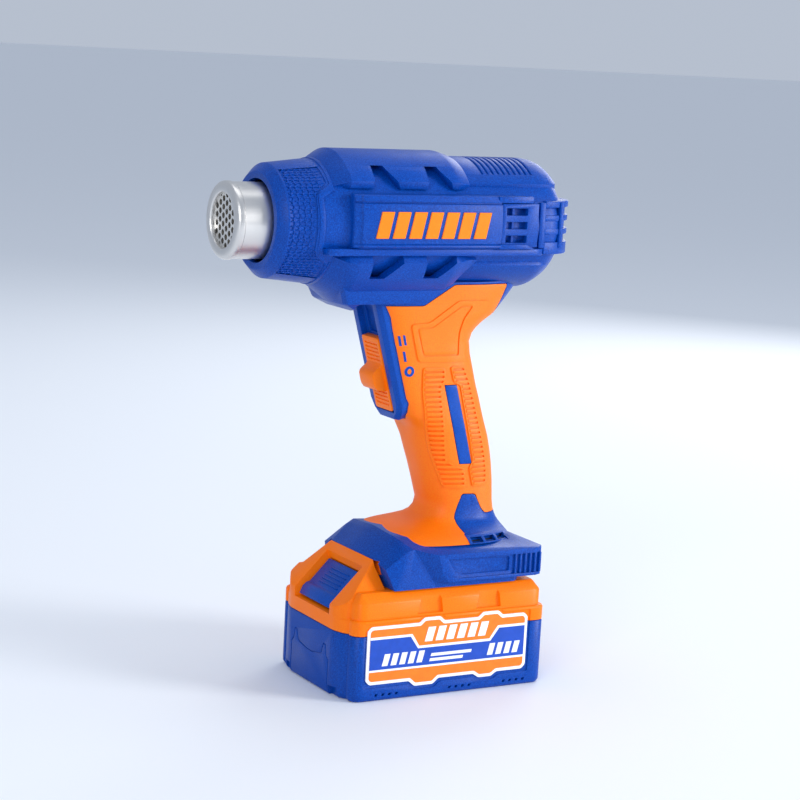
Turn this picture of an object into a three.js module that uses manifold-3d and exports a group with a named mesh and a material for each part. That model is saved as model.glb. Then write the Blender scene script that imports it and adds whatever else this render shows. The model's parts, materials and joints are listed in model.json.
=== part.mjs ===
// Cordless heat gun standing on its slide-on battery pack.  Millimetres, +Z up.
// The nozzle points to -X, the left side of the tool faces -Y, and the origin is
// on the floor under the middle of the whole tool.  The tool is drawn from a datum
// in the handle; the last line moves the datum so that the origin is centred.
import * as THREE from 'three';
import { mergeVertices } from 'three/addons/utils/BufferGeometryUtils.js';
import { ParametricGeometry } from 'three/addons/geometries/ParametricGeometry.js';
import Module from 'manifold-3d';

const wasm = await Module();
wasm.setup();

// ---- driving dimensions ----
const datumShift = 9;
const barrelSides = 24;
const gap = 0.3;
const wall = 2.6;
const gripDepth = 2.2;

const barrelZ = 218.5;
const lipX = -96.5;
const collarX = -79.8;
const collarRearX = -53;
const shellFrontX = -45.8;
const shellRearX = 9.1;
const stepRearX = 17;
const domeX = 58.5;
const domeLength = 18;
const bandRearX = 78.5;
const bandHalf = 29.6;
const bandCorner = 22;

const collarFrontRadius = 22.5;
const collarRearRadius = 28.6;
const shellRadius = 33.3;
const shellBottomRadius = 37;
const rearRadius = 30.8;
const coreRadius = 29.6;
const chamberRadius = 26.6;
const channelTopZ = 235.4;
const channelBottomZ = 205.5;
const railFace = 33.4;

const tubeRadius = 17.3;
const tubeWall = 0.9;
const tubeRearX = -25.7;
const lipRadius = 17.75;
const outletRadius = 12.3;
const discX = -91;
const holePitch = 3.8;
const holeRadius = 1.32;

const fanX = 42;
const fanRadius = 22.4;
const ductWall = 1.6;
const motorRadius = 12.2;
const motorFrontX = 4;
const motorRearX = 34;

const trackX = -7;
const trackZ = 127;
const trackTilt = THREE.MathUtils.degToRad(16);
const windowHalf = 8.3;
const windowBottom = 2.5;
const windowTop = 55.5;
const sliderLength = 36;

const footHalf = 37.2;
const footBottomZ = 50.6;
const footFlangeZ = 66.5;
const footRoofZ = 71.4;
const footRearX = 63;
const towerHalf = 24;
const towerTopZ = 62.4;
const towerWaist = 21;
const wingLowZ = 56;

const packHalf = 37.5;
const packFrontX = -42;
const packRearX = 65.5;
const caseSplitZ = 31;
const shoulderZ = 50.2;
const slopeTopX = -21.8;
const slopeTopZ = 63.2;
const slopeLowZ = 42.8;

const cellRadius = 9.1;
const cellLength = 65;

// ---- materials ----
function finish(color, roughness, metalness = 0) {
  return new THREE.MeshStandardMaterial({ color, roughness, metalness });
}
const bluePlastic = finish(0x0a50c8, 0.45);
const orangeRubber = finish(0xff7800, 0.55);
const orangePlastic = finish(0xff7800, 0.4);
const stainless = finish(0xc9c9c6, 0.28, 1);
const zincSteel = finish(0x9a9da0, 0.35, 1);
const copper = finish(0xb87333, 0.3, 1);
const resistanceWire = finish(0x8a8078, 0.4, 1);
const mica = finish(0xb9a98a, 0.6);
const blackNylon = finish(0x1c1d20, 0.55);
const boardGreen = finish(0x1c5a34, 0.5);
const redSleeve = finish(0xb3261e, 0.5);
const blackSleeve = finish(0x17181a, 0.5);
const cellWrap = finish(0x2f6fb2, 0.4);
const labelFilm = finish(0xf0f2f6, 0.35);

const tool = new THREE.Group();

function add(name, solid, material, group = tool) {
  const mesh = solid.getMesh();
  const geometry = new THREE.BufferGeometry();
  geometry.setAttribute('position', new THREE.BufferAttribute(mesh.vertProperties, 3));
  geometry.setIndex(new THREE.BufferAttribute(mesh.triVerts, 1));
  const part = new THREE.Mesh(geometry, material);
  part.name = name;
  group.add(part);
  return part;
}

// ---- solids from closed geometries ----
function toManifold(vertProperties, triVerts) {
  return new wasm.Manifold(new wasm.Mesh({ numProp: 3, vertProperties, triVerts }));
}

function solid(geometry) {
  const bare = geometry.clone();
  bare.deleteAttribute('normal');
  bare.deleteAttribute('uv');
  const merged = mergeVertices(bare, 1e-4);
  const index = merged.index.array;
  const corners = [];
  for (let i = 0; i < index.length; i += 3) {
    const [a, b, c] = [index[i], index[i + 1], index[i + 2]];
    if (a !== b && b !== c && c !== a) corners.push(a, b, c);
  }
  const vertProperties = new Float32Array(merged.attributes.position.array);
  const result = toManifold(vertProperties, new Uint32Array(corners));
  if (result.volume() > 0) return result;
  return toManifold(vertProperties, new Uint32Array(corners.reverse()));
}

function block(x0, x1, y0, y1, z0, z1) {
  const geometry = new THREE.BoxGeometry(x1 - x0, y1 - y0, z1 - z0);
  geometry.translate((x0 + x1) / 2, (y0 + y1) / 2, (z0 + z1) / 2);
  return solid(geometry);
}

function extrusion(points, length) {
  const shape = new THREE.Shape(points.map(([u, v]) => new THREE.Vector2(u, v)));
  return new THREE.ExtrudeGeometry(shape, { depth: length, bevelEnabled: false });
}

// an outline in X and Z, carried across the tool from y0 to y1
function acrossY(points, y0, y1) {
  return solid(extrusion(points, y1 - y0).rotateX(Math.PI / 2).translate(0, y1, 0));
}

// an outline in Y and Z, carried along the tool from x0 to x1
function alongX(points, x0, x1) {
  const turn = new THREE.Matrix4().makeBasis(
    new THREE.Vector3(0, 1, 0), new THREE.Vector3(0, 0, 1), new THREE.Vector3(1, 0, 0));
  return solid(extrusion(points, x1 - x0).applyMatrix4(turn).translate(x0, 0, 0));
}

// an outline in X and Y, carried upwards from z0 to z1
function upZ(points, z0, z1) {
  return solid(extrusion(points, z1 - z0).translate(0, 0, z0));
}

// a profile of [x, radius] pairs, turned about the barrel's axis
function turned(profile, sides = barrelSides) {
  const points = profile.map(([x, radius]) => new THREE.Vector2(radius, x));
  return solid(new THREE.LatheGeometry(points, sides).rotateZ(-Math.PI / 2).translate(0, 0, barrelZ));
}

function ringTurned(x0, x1, inner, outer, sides = barrelSides) {
  return turned([[x0, inner], [x0, outer], [x1, outer], [x1, inner], [x0, inner]], sides);
}

// a round bar along Y, such as a screw boss
function barY(x, z, radius, y0, y1, sides = 12) {
  return solid(new THREE.CylinderGeometry(radius, radius, y1 - y0, sides).translate(x, (y0 + y1) / 2, z));
}

// a closed skin over equal rings of points, with flat ends
function loft(rings) {
  const rows = rings.length + 1;
  const count = rings[0].length;
  const centres = [rings[0], rings[rings.length - 1]].map(
    (ring) => ring.reduce((sum, p) => sum.add(p), new THREE.Vector3()).divideScalar(count));
  const at = (u, v, target) => {
    const row = Math.round(v * rows);
    if (row === 0) return target.copy(centres[0]);
    if (row === rows) return target.copy(centres[1]);
    return target.copy(rings[row - 1][Math.round(u * count) % count]);
  };
  return solid(new ParametricGeometry(at, count, rows));
}

function power(value, exponent) {
  return Math.sign(value) * Math.abs(value) ** exponent;
}

// ---- the barrel ----
function barrelRing(x, top, bottom, side, count = barrelSides) {
  return Array.from({ length: count }, (_, i) => {
    const angle = (i / count) * 2 * Math.PI;
    const high = Math.sin(angle) * (Math.sin(angle) > 0 ? top : bottom);
    return new THREE.Vector3(x, Math.cos(angle) * side, barrelZ + high);
  });
}

function domeProfile(radius, startX) {
  const profile = [[startX, 0], [startX, radius]];
  for (const degrees of [15, 32, 48, 63, 76]) {
    const angle = THREE.MathUtils.degToRad(degrees);
    profile.push([domeX + domeLength * Math.sin(angle), radius * Math.cos(angle)]);
  }
  profile.push([domeX + domeLength, 0]);
  return profile;
}

function collar() {
  return turned([
    [collarX, 0], [collarX, collarFrontRadius], [-76, 26],
    [collarRearX, collarRearRadius], [-48, collarRearRadius], [-48, 0],
  ]);
}

function thickShell() {
  const whole = loft([
    barrelRing(-54, 28, 28, 28),
    barrelRing(collarRearX, collarRearRadius, collarRearRadius, collarRearRadius),
    barrelRing(shellFrontX, shellRadius, 33, shellRadius),
    barrelRing(shellFrontX + 4.8, shellRadius, shellBottomRadius, shellRadius),
    barrelRing(shellRearX, shellRadius, shellBottomRadius, shellRadius),
    barrelRing(stepRearX, rearRadius - 0.3, rearRadius, rearRadius - 0.3),
  ]);
  const channel = block(-90, 90, -40, 40, channelBottomZ, channelTopZ);
  const tailUnder = acrossY([[12, 170], [24, channelBottomZ], [30, channelBottomZ], [30, 170]], -50, 50);
  return whole.subtract(channel).subtract(tailUnder);
}

// two pockets on each flank of the upper shell, and their mirror images below
function shellPockets() {
  let pockets = null;
  for (const startX of [-33.5, -5.5]) {
    const upper = acrossY([
      [startX, 230], [startX, 245.5], [startX + 6.5, 245.5], [startX + 15, 230],
    ], -45, 45);
    const lower = acrossY([
      [startX, 211], [startX, 194.5], [startX + 7, 194.5], [startX + 13.5, 203], [startX + 15, 211],
    ], -45, 45);
    const pair = upper.add(lower);
    pockets = pockets ? pockets.add(pair) : pair;
  }
  return pockets.subtract(turned([[-60, 0], [-60, coreRadius], [40, coreRadius], [40, 0]]));
}

function rearShell() {
  return turned(domeProfile(rearRadius, 8)).subtract(block(-90, 90, -40, 40, 203, channelTopZ));
}

function rearBandOutline() {
  const points = [[46, -bandHalf]];
  for (let i = 0; i <= 5; i++) {
    const angle = -Math.PI / 2 + (i / 5) * (Math.PI / 2);
    points.push([
      bandRearX - bandCorner + bandCorner * Math.cos(angle), bandCorner - bandHalf + bandCorner * Math.sin(angle),
    ]);
  }
  return points.concat(points.slice().reverse().map(([x, y]) => [x, -y]));
}

function sideRail() {
  return block(-46, 46.8, -railFace, railFace, 209.8, 232.7)
    .add(block(-57.5, 55, -31.5, 31.5, 206, 208.8))
    .add(upZ(rearBandOutline(), 206, 231))
    .add(block(-46, 50, -29.2, 29.2, 205, 232));
}

function neckBlock() {
  return alongX([[-19, 190], [-13, 181.4], [13, 181.4], [19, 190]], -36, 12);
}

function barrelOutside() {
  const core = turned(domeProfile(coreRadius, -50));
  return collar().add(thickShell().subtract(shellPockets()))
    .add(core).add(rearShell()).add(sideRail()).add(neckBlock());
}

// hot end, motor chamber and rear chamber, all one open space inside the halves
function barrelInside() {
  return turned([
    [collarX - 1, 0], [collarX - 1, 19], [-77, 19], [-76, 22.4], [-56, 25.2],
    [-50, chamberRadius], [domeX, chamberRadius], [64, 24.5], [70, 18.5], [72.5, 10], [72.5, 0],
  ], 20);
}

function intakeSlots() {
  let slots = null;
  for (const lowZ of [211.9, 218.2, 224.5]) {
    const highZ = lowZ + 3.3;
    const row = block(33, 44.5, -45, 45, lowZ, highZ)
      .add(block(56.4, 65.5, -45, 45, lowZ, highZ))
      .add(block(66, 90, -14, -3, lowZ, highZ))
      .add(block(66, 90, 3, 14, lowZ, highZ));
    slots = slots ? slots.add(row) : row;
  }
  return slots;
}

// ---- the handle ----
// height, front, rear and half width of the handle's outside
const handleStations = [
  [69.4, -15.6, 58, 31],
  [72.6, -13.6, 56, 26.4],
  [75.2, -8.6, 54, 20.5],
  [78, 9, 52.4, 17.6],
  [84, 14.6, 50.4, 16.4],
  [96, 11, 49.8, 16.2],
  [110, 6.4, 47.6, 16.6],
  [123, 1.6, 43.6, 17],
  [129, -4.6, 41.8, 17],
  [135, -6.9, 40, 17],
  [150, -11.2, 35.4, 17],
  [163, -14.9, 32.4, 17],
  [170, -16.9, 36.4, 17.2],
  [176, -18.6, 45.5, 17.4],
  [190, -27, 57.5, 18],
  [206, -30, 60, 18.5],
];

function handleRing([z, front, rear, half], inset, count) {
  const centre = (front + rear) / 2;
  const reach = (rear - front) / 2 - inset;
  return Array.from({ length: count }, (_, i) => {
    const angle = (i / count) * 2 * Math.PI;
    const x = centre + reach * power(Math.cos(angle), 0.77);
    const y = (half - inset) * power(Math.sin(angle), 0.77);
    return new THREE.Vector3(x, y, z);
  });
}

function handle(inset, count = 20) {
  return loft(handleStations.map((station) => handleRing(station, inset, count)));
}

// moves each edge of an outline inwards and finds the new corners
function shrink(points, distance) {
  const turn = Math.sign(THREE.ShapeUtils.area(points.map(([u, v]) => new THREE.Vector2(u, v))));
  const edges = points.map((p, i) => {
    const q = points[(i + 1) % points.length];
    const length = Math.hypot(q[0] - p[0], q[1] - p[1]);
    const along = [(q[0] - p[0]) / length, (q[1] - p[1]) / length];
    const inward = [-along[1] * turn, along[0] * turn];
    return { from: [p[0] + inward[0] * distance, p[1] + inward[1] * distance], along };
  });
  return points.map((_, i) => {
    const before = edges[(i + points.length - 1) % points.length];
    const after = edges[i];
    const cross = before.along[0] * after.along[1] - before.along[1] * after.along[0];
    const gapX = after.from[0] - before.from[0];
    const gapZ = after.from[1] - before.from[1];
    const reach = (gapX * after.along[1] - gapZ * after.along[0]) / cross;
    return [before.from[0] + before.along[0] * reach, before.from[1] + before.along[1] * reach];
  });
}

const gripOutline = [
  [-34, 180.8], [0.3, 180.8], [16, 190.6], [47, 190.6], [42.6, 176], [46, 173.2], [80, 173],
  [80, 79.8], [39.7, 79.8], [34.8, 90.3], [27.4, 90.6], [23.4, 79], [26.5, 69.8], [-34, 69.8],
];

const badgeOutline = [[14.1, 143.2], [20.4, 143.2], [31.3, 105.2], [25, 105.2]];

// the layer of the handle's skin inside an outline seen from the side
function skin(outline, outerInset, innerInset) {
  return acrossY(outline, -60, 60).intersect(handle(outerInset)).subtract(handle(innerInset));
}

function half(whole, side) {
  const edge = gap / 2;
  return whole.intersect(side < 0 ? block(-120, 120, -60, -edge, -10, 280) : block(-120, 120, edge, 60, -10, 280));
}

// ---- the switch, in its own track frame: +Z runs up the track, -X points out ----
function onTrack(body) {
  const turn = new THREE.Matrix4().makeRotationY(-trackTilt).setPosition(trackX, 0, trackZ);
  return body.transform(turn.elements);
}

function bezelBody(growth) {
  const half = 14.4 + growth;
  const low = -1.6 - growth;
  const high = 57.5 + growth;
  const outline = [
    [-half, 5], [-half + 5.5, low], [half - 5.5, low], [half, 5], [half, high], [-half, high],
  ];
  return alongX(outline, -growth, 6 + growth);
}

function switchWell() {
  return block(5.5, 18.4, -8.3, 8.3, 1.4, 53.6);
}

function switchBezel() {
  const window = block(-2, 3.3, -windowHalf, windowHalf, windowBottom, windowTop);
  const slot = block(2, 8, -2.6, 2.6, 15.6, 36.2);
  return bezelBody(0).subtract(window).subtract(slot);
}

function switchSlider() {
  const low = windowBottom + 0.8;
  const half = windowHalf - 0.4;
  const plate = alongX([
    [-half, low + 1.5], [-half + 1.5, low], [half - 1.5, low], [half, low + 1.5],
    [half, low + sliderLength - 1.5], [half - 1.5, low + sliderLength],
    [-half + 1.5, low + sliderLength], [-half, low + sliderLength - 1.5],
  ], -0.5, 2.9);
  const ledge = acrossY([[0, 27.5], [-3, 24.8], [-6.2, 22.4], [-6.4, 17], [-5.6, 15], [0, 13.6]], -6.8, 6.8);
  const stem = block(2, 9.4, -1.9, 1.9, 16.2, 20.2);
  return plate.add(ledge).add(stem);
}

function switchBlock() {
  const body = block(6.8, 17.6, -7.2, 7.2, 3, 52);
  const groove = block(6, 13.4, -2.7, 2.7, 8, 46);
  return body.subtract(groove);
}

// a leaf with three hollows that the slider's stem settles into
function detentLeaf() {
  const front = [[10.6, 9], [11.2, 14], [12.2, 18.2], [10.8, 22], [12.2, 25.8], [10.8, 29.6], [12.2, 33.5], [10.6, 40]];
  const back = front.map(([x, z]) => [x + 0.5, z]).reverse();
  return acrossY(front.concat(back), -2.1, 2.1);
}

// ---- hot end ----
function nozzleTube() {
  const inner = tubeRadius - tubeWall;
  return turned([
    [lipX, 13.6], [lipX, 16.4], [lipX + 1, lipRadius], [-93, lipRadius], [-92.4, tubeRadius],
    [-28, tubeRadius], [-28, 20], [tubeRearX, 20], [tubeRearX, inner], [-92, inner],
    [-93.6, outletRadius], [-95.4, outletRadius], [lipX, 13.6],
  ]);
}

function outletDisc() {
  const radius = tubeRadius - tubeWall - gap;
  let disc = turned([[discX, 0], [discX, radius], [discX + 0.9, radius], [discX + 0.9, 0]], 28);
  const rowStep = holePitch * Math.sqrt(3) / 2;
  const hole = new THREE.CylinderGeometry(holeRadius, holeRadius, 4, 6).rotateZ(Math.PI / 2);
  for (let column = -3; column <= 3; column++) {
    for (let row = -3; row <= 3; row++) {
      const y = column * rowStep;
      const z = (row + (column % 2 ? 0.5 : 0)) * holePitch;
      if (Math.hypot(y, z) > outletRadius + 0.4) continue;
      disc = disc.subtract(solid(hole.clone().translate(discX, y, barrelZ + z)));
    }
  }
  return disc;
}

// two crossed plates, wider at their ends, where they rest in the sleeve
function micaCross() {
  const [front, rear] = [-86, -36.6];
  const reach = 9.4;
  const foot = 14.5;
  const plate = (z, y, x0, x1) => block(x0, x1, -y, y, barrelZ - z, barrelZ + z);
  const thin = 0.6;
  return plate(thin, reach, front, rear).add(plate(reach, thin, front, rear))
    .add(plate(thin, foot, front, front + 2)).add(plate(foot, thin, front, front + 2))
    .add(plate(thin, foot, rear - 2, rear)).add(plate(foot, thin, rear - 2, rear));
}

function heaterCoil() {
  const turns = 7;
  const steps = turns * 10;
  const points = Array.from({ length: steps + 1 }, (_, i) => {
    const angle = (i / steps) * turns * 2 * Math.PI;
    return new THREE.Vector3(-82 + (i / steps) * 42, 10.8 * Math.cos(angle), barrelZ + 10.8 * Math.sin(angle));
  });
  const path = new THREE.CatmullRomCurve3(points);
  return sweep(path, 0.7, steps, 4);
}

function sweep(path, radius, steps, sides) {
  const section = new THREE.Shape(Array.from({ length: sides }, (_, i) => {
    const angle = (i / sides) * 2 * Math.PI;
    return new THREE.Vector2(radius * Math.cos(angle), radius * Math.sin(angle));
  }));
  return solid(new THREE.ExtrudeGeometry(section, { steps, extrudePath: path, bevelEnabled: false }));
}

function thermalCutout() {
  return block(-36, -30, -5, 5, barrelZ - 3, barrelZ + 3).add(block(-31, -28.6, -3, 3, barrelZ - 1, barrelZ + 1));
}

// ---- air drive ----
function fanDuct() {
  const outer = [[-22.5, 19], [-18, 19], [-4, 17.5], [8, 19], [20, 24.4], [50, 25.4]];
  const inner = outer.map(([x, radius]) => [x, radius - ductWall]).reverse();
  const tube = turned(outer.concat(inner, [outer[0]]));
  const ring = ringTurned(10, 28, motorRadius + 0.4, motorRadius + 1.8, 24);
  let result = tube.add(ring);
  for (const turn of [90, 210, 330]) {
    const strut = solid(new THREE.BoxGeometry(12, 1.6, 11).translate(18, 0, motorRadius + 6.4)
      .rotateX(THREE.MathUtils.degToRad(turn)).translate(0, 0, barrelZ));
    result = result.add(strut.intersect(turned([
      [8, 0], [8, 18], [20, 23.6], [26, 24], [26, 0],
    ])));
  }
  const leadHole = block(-4, 6.5, -7, 7, 194, 204.5);
  return result.subtract(leadHole);
}

function fanImpeller() {
  let fan = ringTurned(fanX - 4, fanX + 6, 1.1, 7.4, 24);
  for (let i = 0; i < 7; i++) {
    const blade = new THREE.BoxGeometry(11, 1.3, fanRadius - 6.4).rotateZ(0.7);
    blade.translate(fanX + 0.6, 0, (fanRadius + 6.4) / 2).rotateX((i / 7) * 2 * Math.PI).translate(0, 0, barrelZ);
    fan = fan.add(solid(blade));
  }
  return fan.subtract(ringTurned(fanX - 12, fanX + 12, fanRadius, fanRadius + 8));
}

function motorCan() {
  return turned([
    [motorFrontX, 1.6], [motorFrontX, 4.5], [motorFrontX + 2, 4.5], [motorFrontX + 2, motorRadius],
    [motorRearX, motorRadius], [motorRearX, 4.5], [motorRearX + 1.8, 4.5], [motorRearX + 1.8, 1.6],
    [motorFrontX, 1.6],
  ], 24);
}

function motorShaft() {
  return turned([[1, 0], [1, 1.05], [fanX + 8, 1.05], [fanX + 8, 0]], 24);
}

// ---- electrics in the foot ----
function controlBoard() {
  return block(-2, 34, -15, 15, 68.2, 69.8)
    .add(block(2, 14, -12, -2, 69.6, 72))
    .add(block(18, 25, -14, -5, 69.6, 71))
    .add(block(6, 12, 5, 13, 69.6, 72));
}

function terminalBlock() {
  const body = block(24, 46, -17, 17, 56.2, 66.8);
  const slots = block(20, 43, -13, -11, 54, 61).add(block(20, 43, 11, 13, 54, 61));
  return body.subtract(slots);
}

function blade(y) {
  return block(27, 42.6, y - 0.4, y + 0.4, 52.6, 60.7);
}

function lead(points) {
  const path = new THREE.CatmullRomCurve3(points.map(([x, y, z]) => new THREE.Vector3(x, y, z)));
  return sweep(path, 1.1, 22, 5);
}

// ---- housing ----
function footOutside() {
  const flange = alongX([
    [-footHalf, footBottomZ], [-footHalf, footFlangeZ], [-22, footRoofZ], [22, footRoofZ],
    [footHalf, footFlangeZ], [footHalf, footBottomZ],
  ], 3, footRearX);
  const hood = alongX([
    [-footHalf, footBottomZ], [-30.5, 66], [-20, footRoofZ], [20, footRoofZ], [30.5, 66],
    [footHalf, footBottomZ],
  ], -30, 5);
  const outline = [
    [-18.4, footBottomZ], [-21.6, 60.4], [slopeTopX + 0.2, slopeTopZ + gap], [-15, footRoofZ],
    [52, footRoofZ], [footRearX, footFlangeZ], [footRearX, 53.5], [footRearX - 4, footBottomZ],
  ];
  return flange.add(hood).intersect(acrossY(outline, -50, 50));
}

// the channel that the pack's tower slides in, with a lip under each wing
function towerProfile(growth) {
  const wing = towerHalf + growth;
  const waist = towerWaist + growth;
  return [
    [-waist, 30], [-waist, wingLowZ - growth], [-wing, wingLowZ - growth], [-wing, towerTopZ + growth],
    [wing, towerTopZ + growth], [wing, wingLowZ - growth], [waist, wingLowZ - growth], [waist, 30],
  ];
}

function footInside() {
  const electronics = block(-9, 54, -20.5, 20.5, 64.6, 69);
  const underHandle = block(-4, 48, -16, 16, 68, 73);
  const terminalHole = block(23.6, 46.4, -17.4, 17.4, 60, 67.2);
  const hookHole = block(-13.6, -7.6, -4.8, 4.8, 60, 66).add(block(-26, -12, -4.8, 4.8, 60, 64.1));
  return electronics.add(underHandle).add(terminalHole).add(hookHole);
}

function footVents() {
  let vents = null;
  for (let i = 0; i < 3; i++) {
    const x = 27 + i * 7.6;
    const vent = block(x, x + 6, -45, 45, 69.2, 71.2);
    vents = vents ? vents.add(vent) : vent;
  }
  return vents;
}

function sidePanel() {
  const outline = [[12, 64.6], [17, 55], [61, 55], [61, 64.6]];
  return acrossY(outline, -45, -footHalf + 1.2).add(acrossY(outline, footHalf - 1.2, 45));
}

const screwPlaces = [[-39, 189.5], [-38, 240.6], [63.5, 236], [63.5, 201], [42, 181], [33, 118], [51, 67.5]];
const bossRadius = 3.4;

function bosses() {
  let all = null;
  for (const [x, z] of screwPlaces) {
    const boss = barY(x, z, bossRadius, -20, 20, 10);
    all = all ? all.add(boss) : boss;
  }
  return all;
}

function screwHoles() {
  let all = null;
  for (const [x, z] of screwPlaces) {
    const hole = barY(x, z, 1.6, -12, 40, 8).add(barY(x, z, 3, 8, 60, 10));
    all = all ? all.add(hole) : hole;
  }
  return all;
}

// rings inside the halves that grip the nozzle tube and the fan duct
function bulkheads() {
  return ringTurned(-31, -28.3, tubeRadius + gap, 27.6)
    .add(ringTurned(tubeRearX + gap, -23, 15.6, 27.6))
    .add(ringTurned(30, 32.4, 25.3, 28));
}

function housing() {
  const outside = barrelOutside().add(handle(0)).add(footOutside());
  const inside = barrelInside().add(handle(gripDepth + wall, 14)).add(footInside());
  const ribs = bulkheads().add(bosses().intersect(outside).subtract(footInside()));
  const gripPocket = skin(gripOutline, -1, gripDepth + gap).subtract(barrelOutside());
  const tower = alongX(towerProfile(0.4), -60, 60.8);
  return outside.subtract(inside).add(ribs)
    .subtract(gripPocket)
    .subtract(tower)
    .subtract(onTrack(bezelBody(gap)))
    .subtract(onTrack(switchWell()))
    .subtract(intakeSlots())
    .subtract(footVents())
    .subtract(sidePanel())
    .subtract(screwHoles());
}

function grips() {
  const pocket = skin(shrink(badgeOutline, -gap), -2, 1.6);
  return skin(shrink(gripOutline, gap), 0, gripDepth)
    .subtract(barrelOutside().translate([0, 0, -gap]))
    .subtract(onTrack(bezelBody(2 * gap)))
    .subtract(pocket)
    .subtract(screwHoles());
}

function badges() {
  return skin(badgeOutline, -0.3, 1.3);
}

// an underline with slanting bars, in place of lettering
function emblem() {
  const points = [[-35, 212.4], [24, 212.4], [24, 214]];
  for (let i = 6; i >= 0; i--) {
    const x = -35.5 + i * 8.2;
    points.push([x + 7.6, 214], [x + 10.2, 225.6], [x + 5.2, 225.6], [x + 2.6, 214]);
  }
  points.push([-35, 214]);
  return points;
}

function housingScrew(x, z) {
  const headY = 8.4;
  return barY(x, z, 1.35, -10.4, headY, 8).add(barY(x, z, 2.7, headY - 0.2, headY + 2.2, 12));
}

// ---- battery pack ----
function packPlan(growth) {
  const [x0, x1] = [packFrontX - growth, packRearX + growth];
  const y = packHalf + growth;
  return [
    [x0, -29], [x0 + 3, -34.5], [x0 + 9, -y], [x1 - 5, -y], [x1 - 1.5, -y + 1.5], [x1, -y + 5],
    [x1, y - 5], [x1 - 1.5, y - 1.5], [x1 - 5, y], [x0 + 9, y], [x0 + 3, 34.5], [x0, 29],
  ];
}

// the front of the top case: a 45 degree face between two falling flanks
function frontSlope() {
  const profile = [
    [packFrontX, 34], [packFrontX, slopeLowZ], [slopeTopX - 0.2, slopeTopZ], [-22.1, 60.4],
    [-19, shoulderZ], [-19, 34],
  ];
  const flanks = alongX([
    [-36.8, 34], [-36.8, 42.5], [-21.5, slopeTopZ], [21.5, slopeTopZ], [36.8, 42.5], [36.8, 34],
  ], -50, -18);
  return acrossY(profile, -37, 37).intersect(flanks).intersect(upZ(packPlan(0), 30, 70));
}

// a point near the sloping face: up the slope, and inwards from it
function slopePoint(up, depth) {
  return [packFrontX + 0.704 * up + 0.71 * depth, slopeLowZ + 0.71 * up - 0.704 * depth];
}

function topCase() {
  const shoulder = upZ(packPlan(-2), 37, shoulderZ).subtract(block(-60, -24, -50, 50, 30, 70));
  const deck = upZ(packPlan(0), caseSplitZ + gap, 38).add(shoulder);
  const tower = alongX(towerProfile(0), -24, 60);
  const inside = upZ(packPlan(-2.6), 20, 41.2)
    .add(upZ(packPlan(-2.6), 41, 47).subtract(block(-60, -19.6, -50, 50, 40, 50)))
    .add(block(-19, 57, -18.4, 18.4, 46, 59.4));
  const window = acrossY([
    [-50, 37], [-37.2, 37], slopePoint(21.4, 7.5), slopePoint(21.4, 0), slopePoint(21.4, -12), [-50, 60],
  ], -17, 17);
  const armSpace = block(-28, -5, -4.7, 4.7, 45.5, 56.3);
  const hookSpace = block(-13.6, -5.4, -4.8, 4.8, 55, 70);
  const blades = block(20, 70, -13.4, -10.6, 51.6, 70).add(block(20, 70, 10.6, 13.4, 51.6, 70));
  const terminalNotch = block(23, 70, -17.9, 17.9, 55.7, 70);
  const springSeat = block(-19.5, -10.5, -35, 35, 41.2, 43);
  const body = deck.add(tower.subtract(block(-40, 70, -40, 40, 20, 45))).add(frontSlope());
  return body.subtract(inside).add(springSeat).add(packPosts(caseSplitZ + gap, 48))
    .subtract(window).subtract(armSpace).subtract(hookSpace).subtract(blades).subtract(terminalNotch)
    .subtract(packScrewHoles());
}

function bottomCase() {
  const shell = upZ(packPlan(0), 1.6, caseSplitZ).add(upZ(packPlan(-1.6), 0, 2));
  const inside = upZ(packPlan(-2.4), 2.6, 60);
  const notches = block(-60, packFrontX + 2, 22, 27, -1, 5).add(block(-60, packFrontX + 2, -27, -22, -1, 5));
  return shell.subtract(inside).add(packPosts(2, caseSplitZ)).subtract(notches).subtract(packScrewHoles());
}

function packPosts(z0, z1) {
  let posts = null;
  for (const [x, y] of packScrewPlaces) {
    const post = upZ(circle(x, y, 2), z0, z1);
    posts = posts ? posts.add(post) : post;
  }
  return posts;
}

function circle(x, y, radius, sides = 10) {
  return Array.from({ length: sides }, (_, i) => {
    const angle = (i / sides) * 2 * Math.PI;
    return [x + radius * Math.cos(angle), y + radius * Math.sin(angle)];
  });
}

const packScrewPlaces = [[-37.5, -28], [-37.5, 28], [58.9, -28], [58.9, 28]];

function packScrewHoles() {
  let all = null;
  for (const [x, y] of packScrewPlaces) {
    const hole = upZ(circle(x, y, 1.2, 8), -1, 38).add(upZ(circle(x, y, 1.8, 8), -1, 4));
    all = all ? all.add(hole) : hole;
  }
  return all;
}

function packScrew(x, y) {
  return upZ(circle(x, y, 0.9, 8), 3.6, 37).add(upZ(circle(x, y, 1.5, 8), 1.8, 3.7));
}

// the outline steps out at two tabs above and below
const labelOutline = [
  [-32, 10], [-30, 8], [-9, 8], [-6, 5.6], [4, 5.6], [7, 8], [26, 8], [29, 6.2], [36, 6.2], [39, 8],
  [53, 8], [55, 10], [55, 33.6], [53, 35.4], [41, 35.4], [38.5, 37.2], [30, 37.2], [27.5, 35.4],
  [9, 35.4], [6.5, 37.2], [-2, 37.2], [-4.5, 35.4], [-30, 35.4], [-32, 33.6],
];

function label(side) {
  const near = packHalf + 0.02;
  const far = near + 0.45;
  return side < 0 ? acrossY(labelOutline, -far, -near) : acrossY(labelOutline, near, far);
}

const cellPlaces = [];
for (const z of [12.2, 30.6]) {
  for (let i = 0; i < 5; i++) cellPlaces.push([-26.2 + i * 18.5, z]);
}

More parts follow.
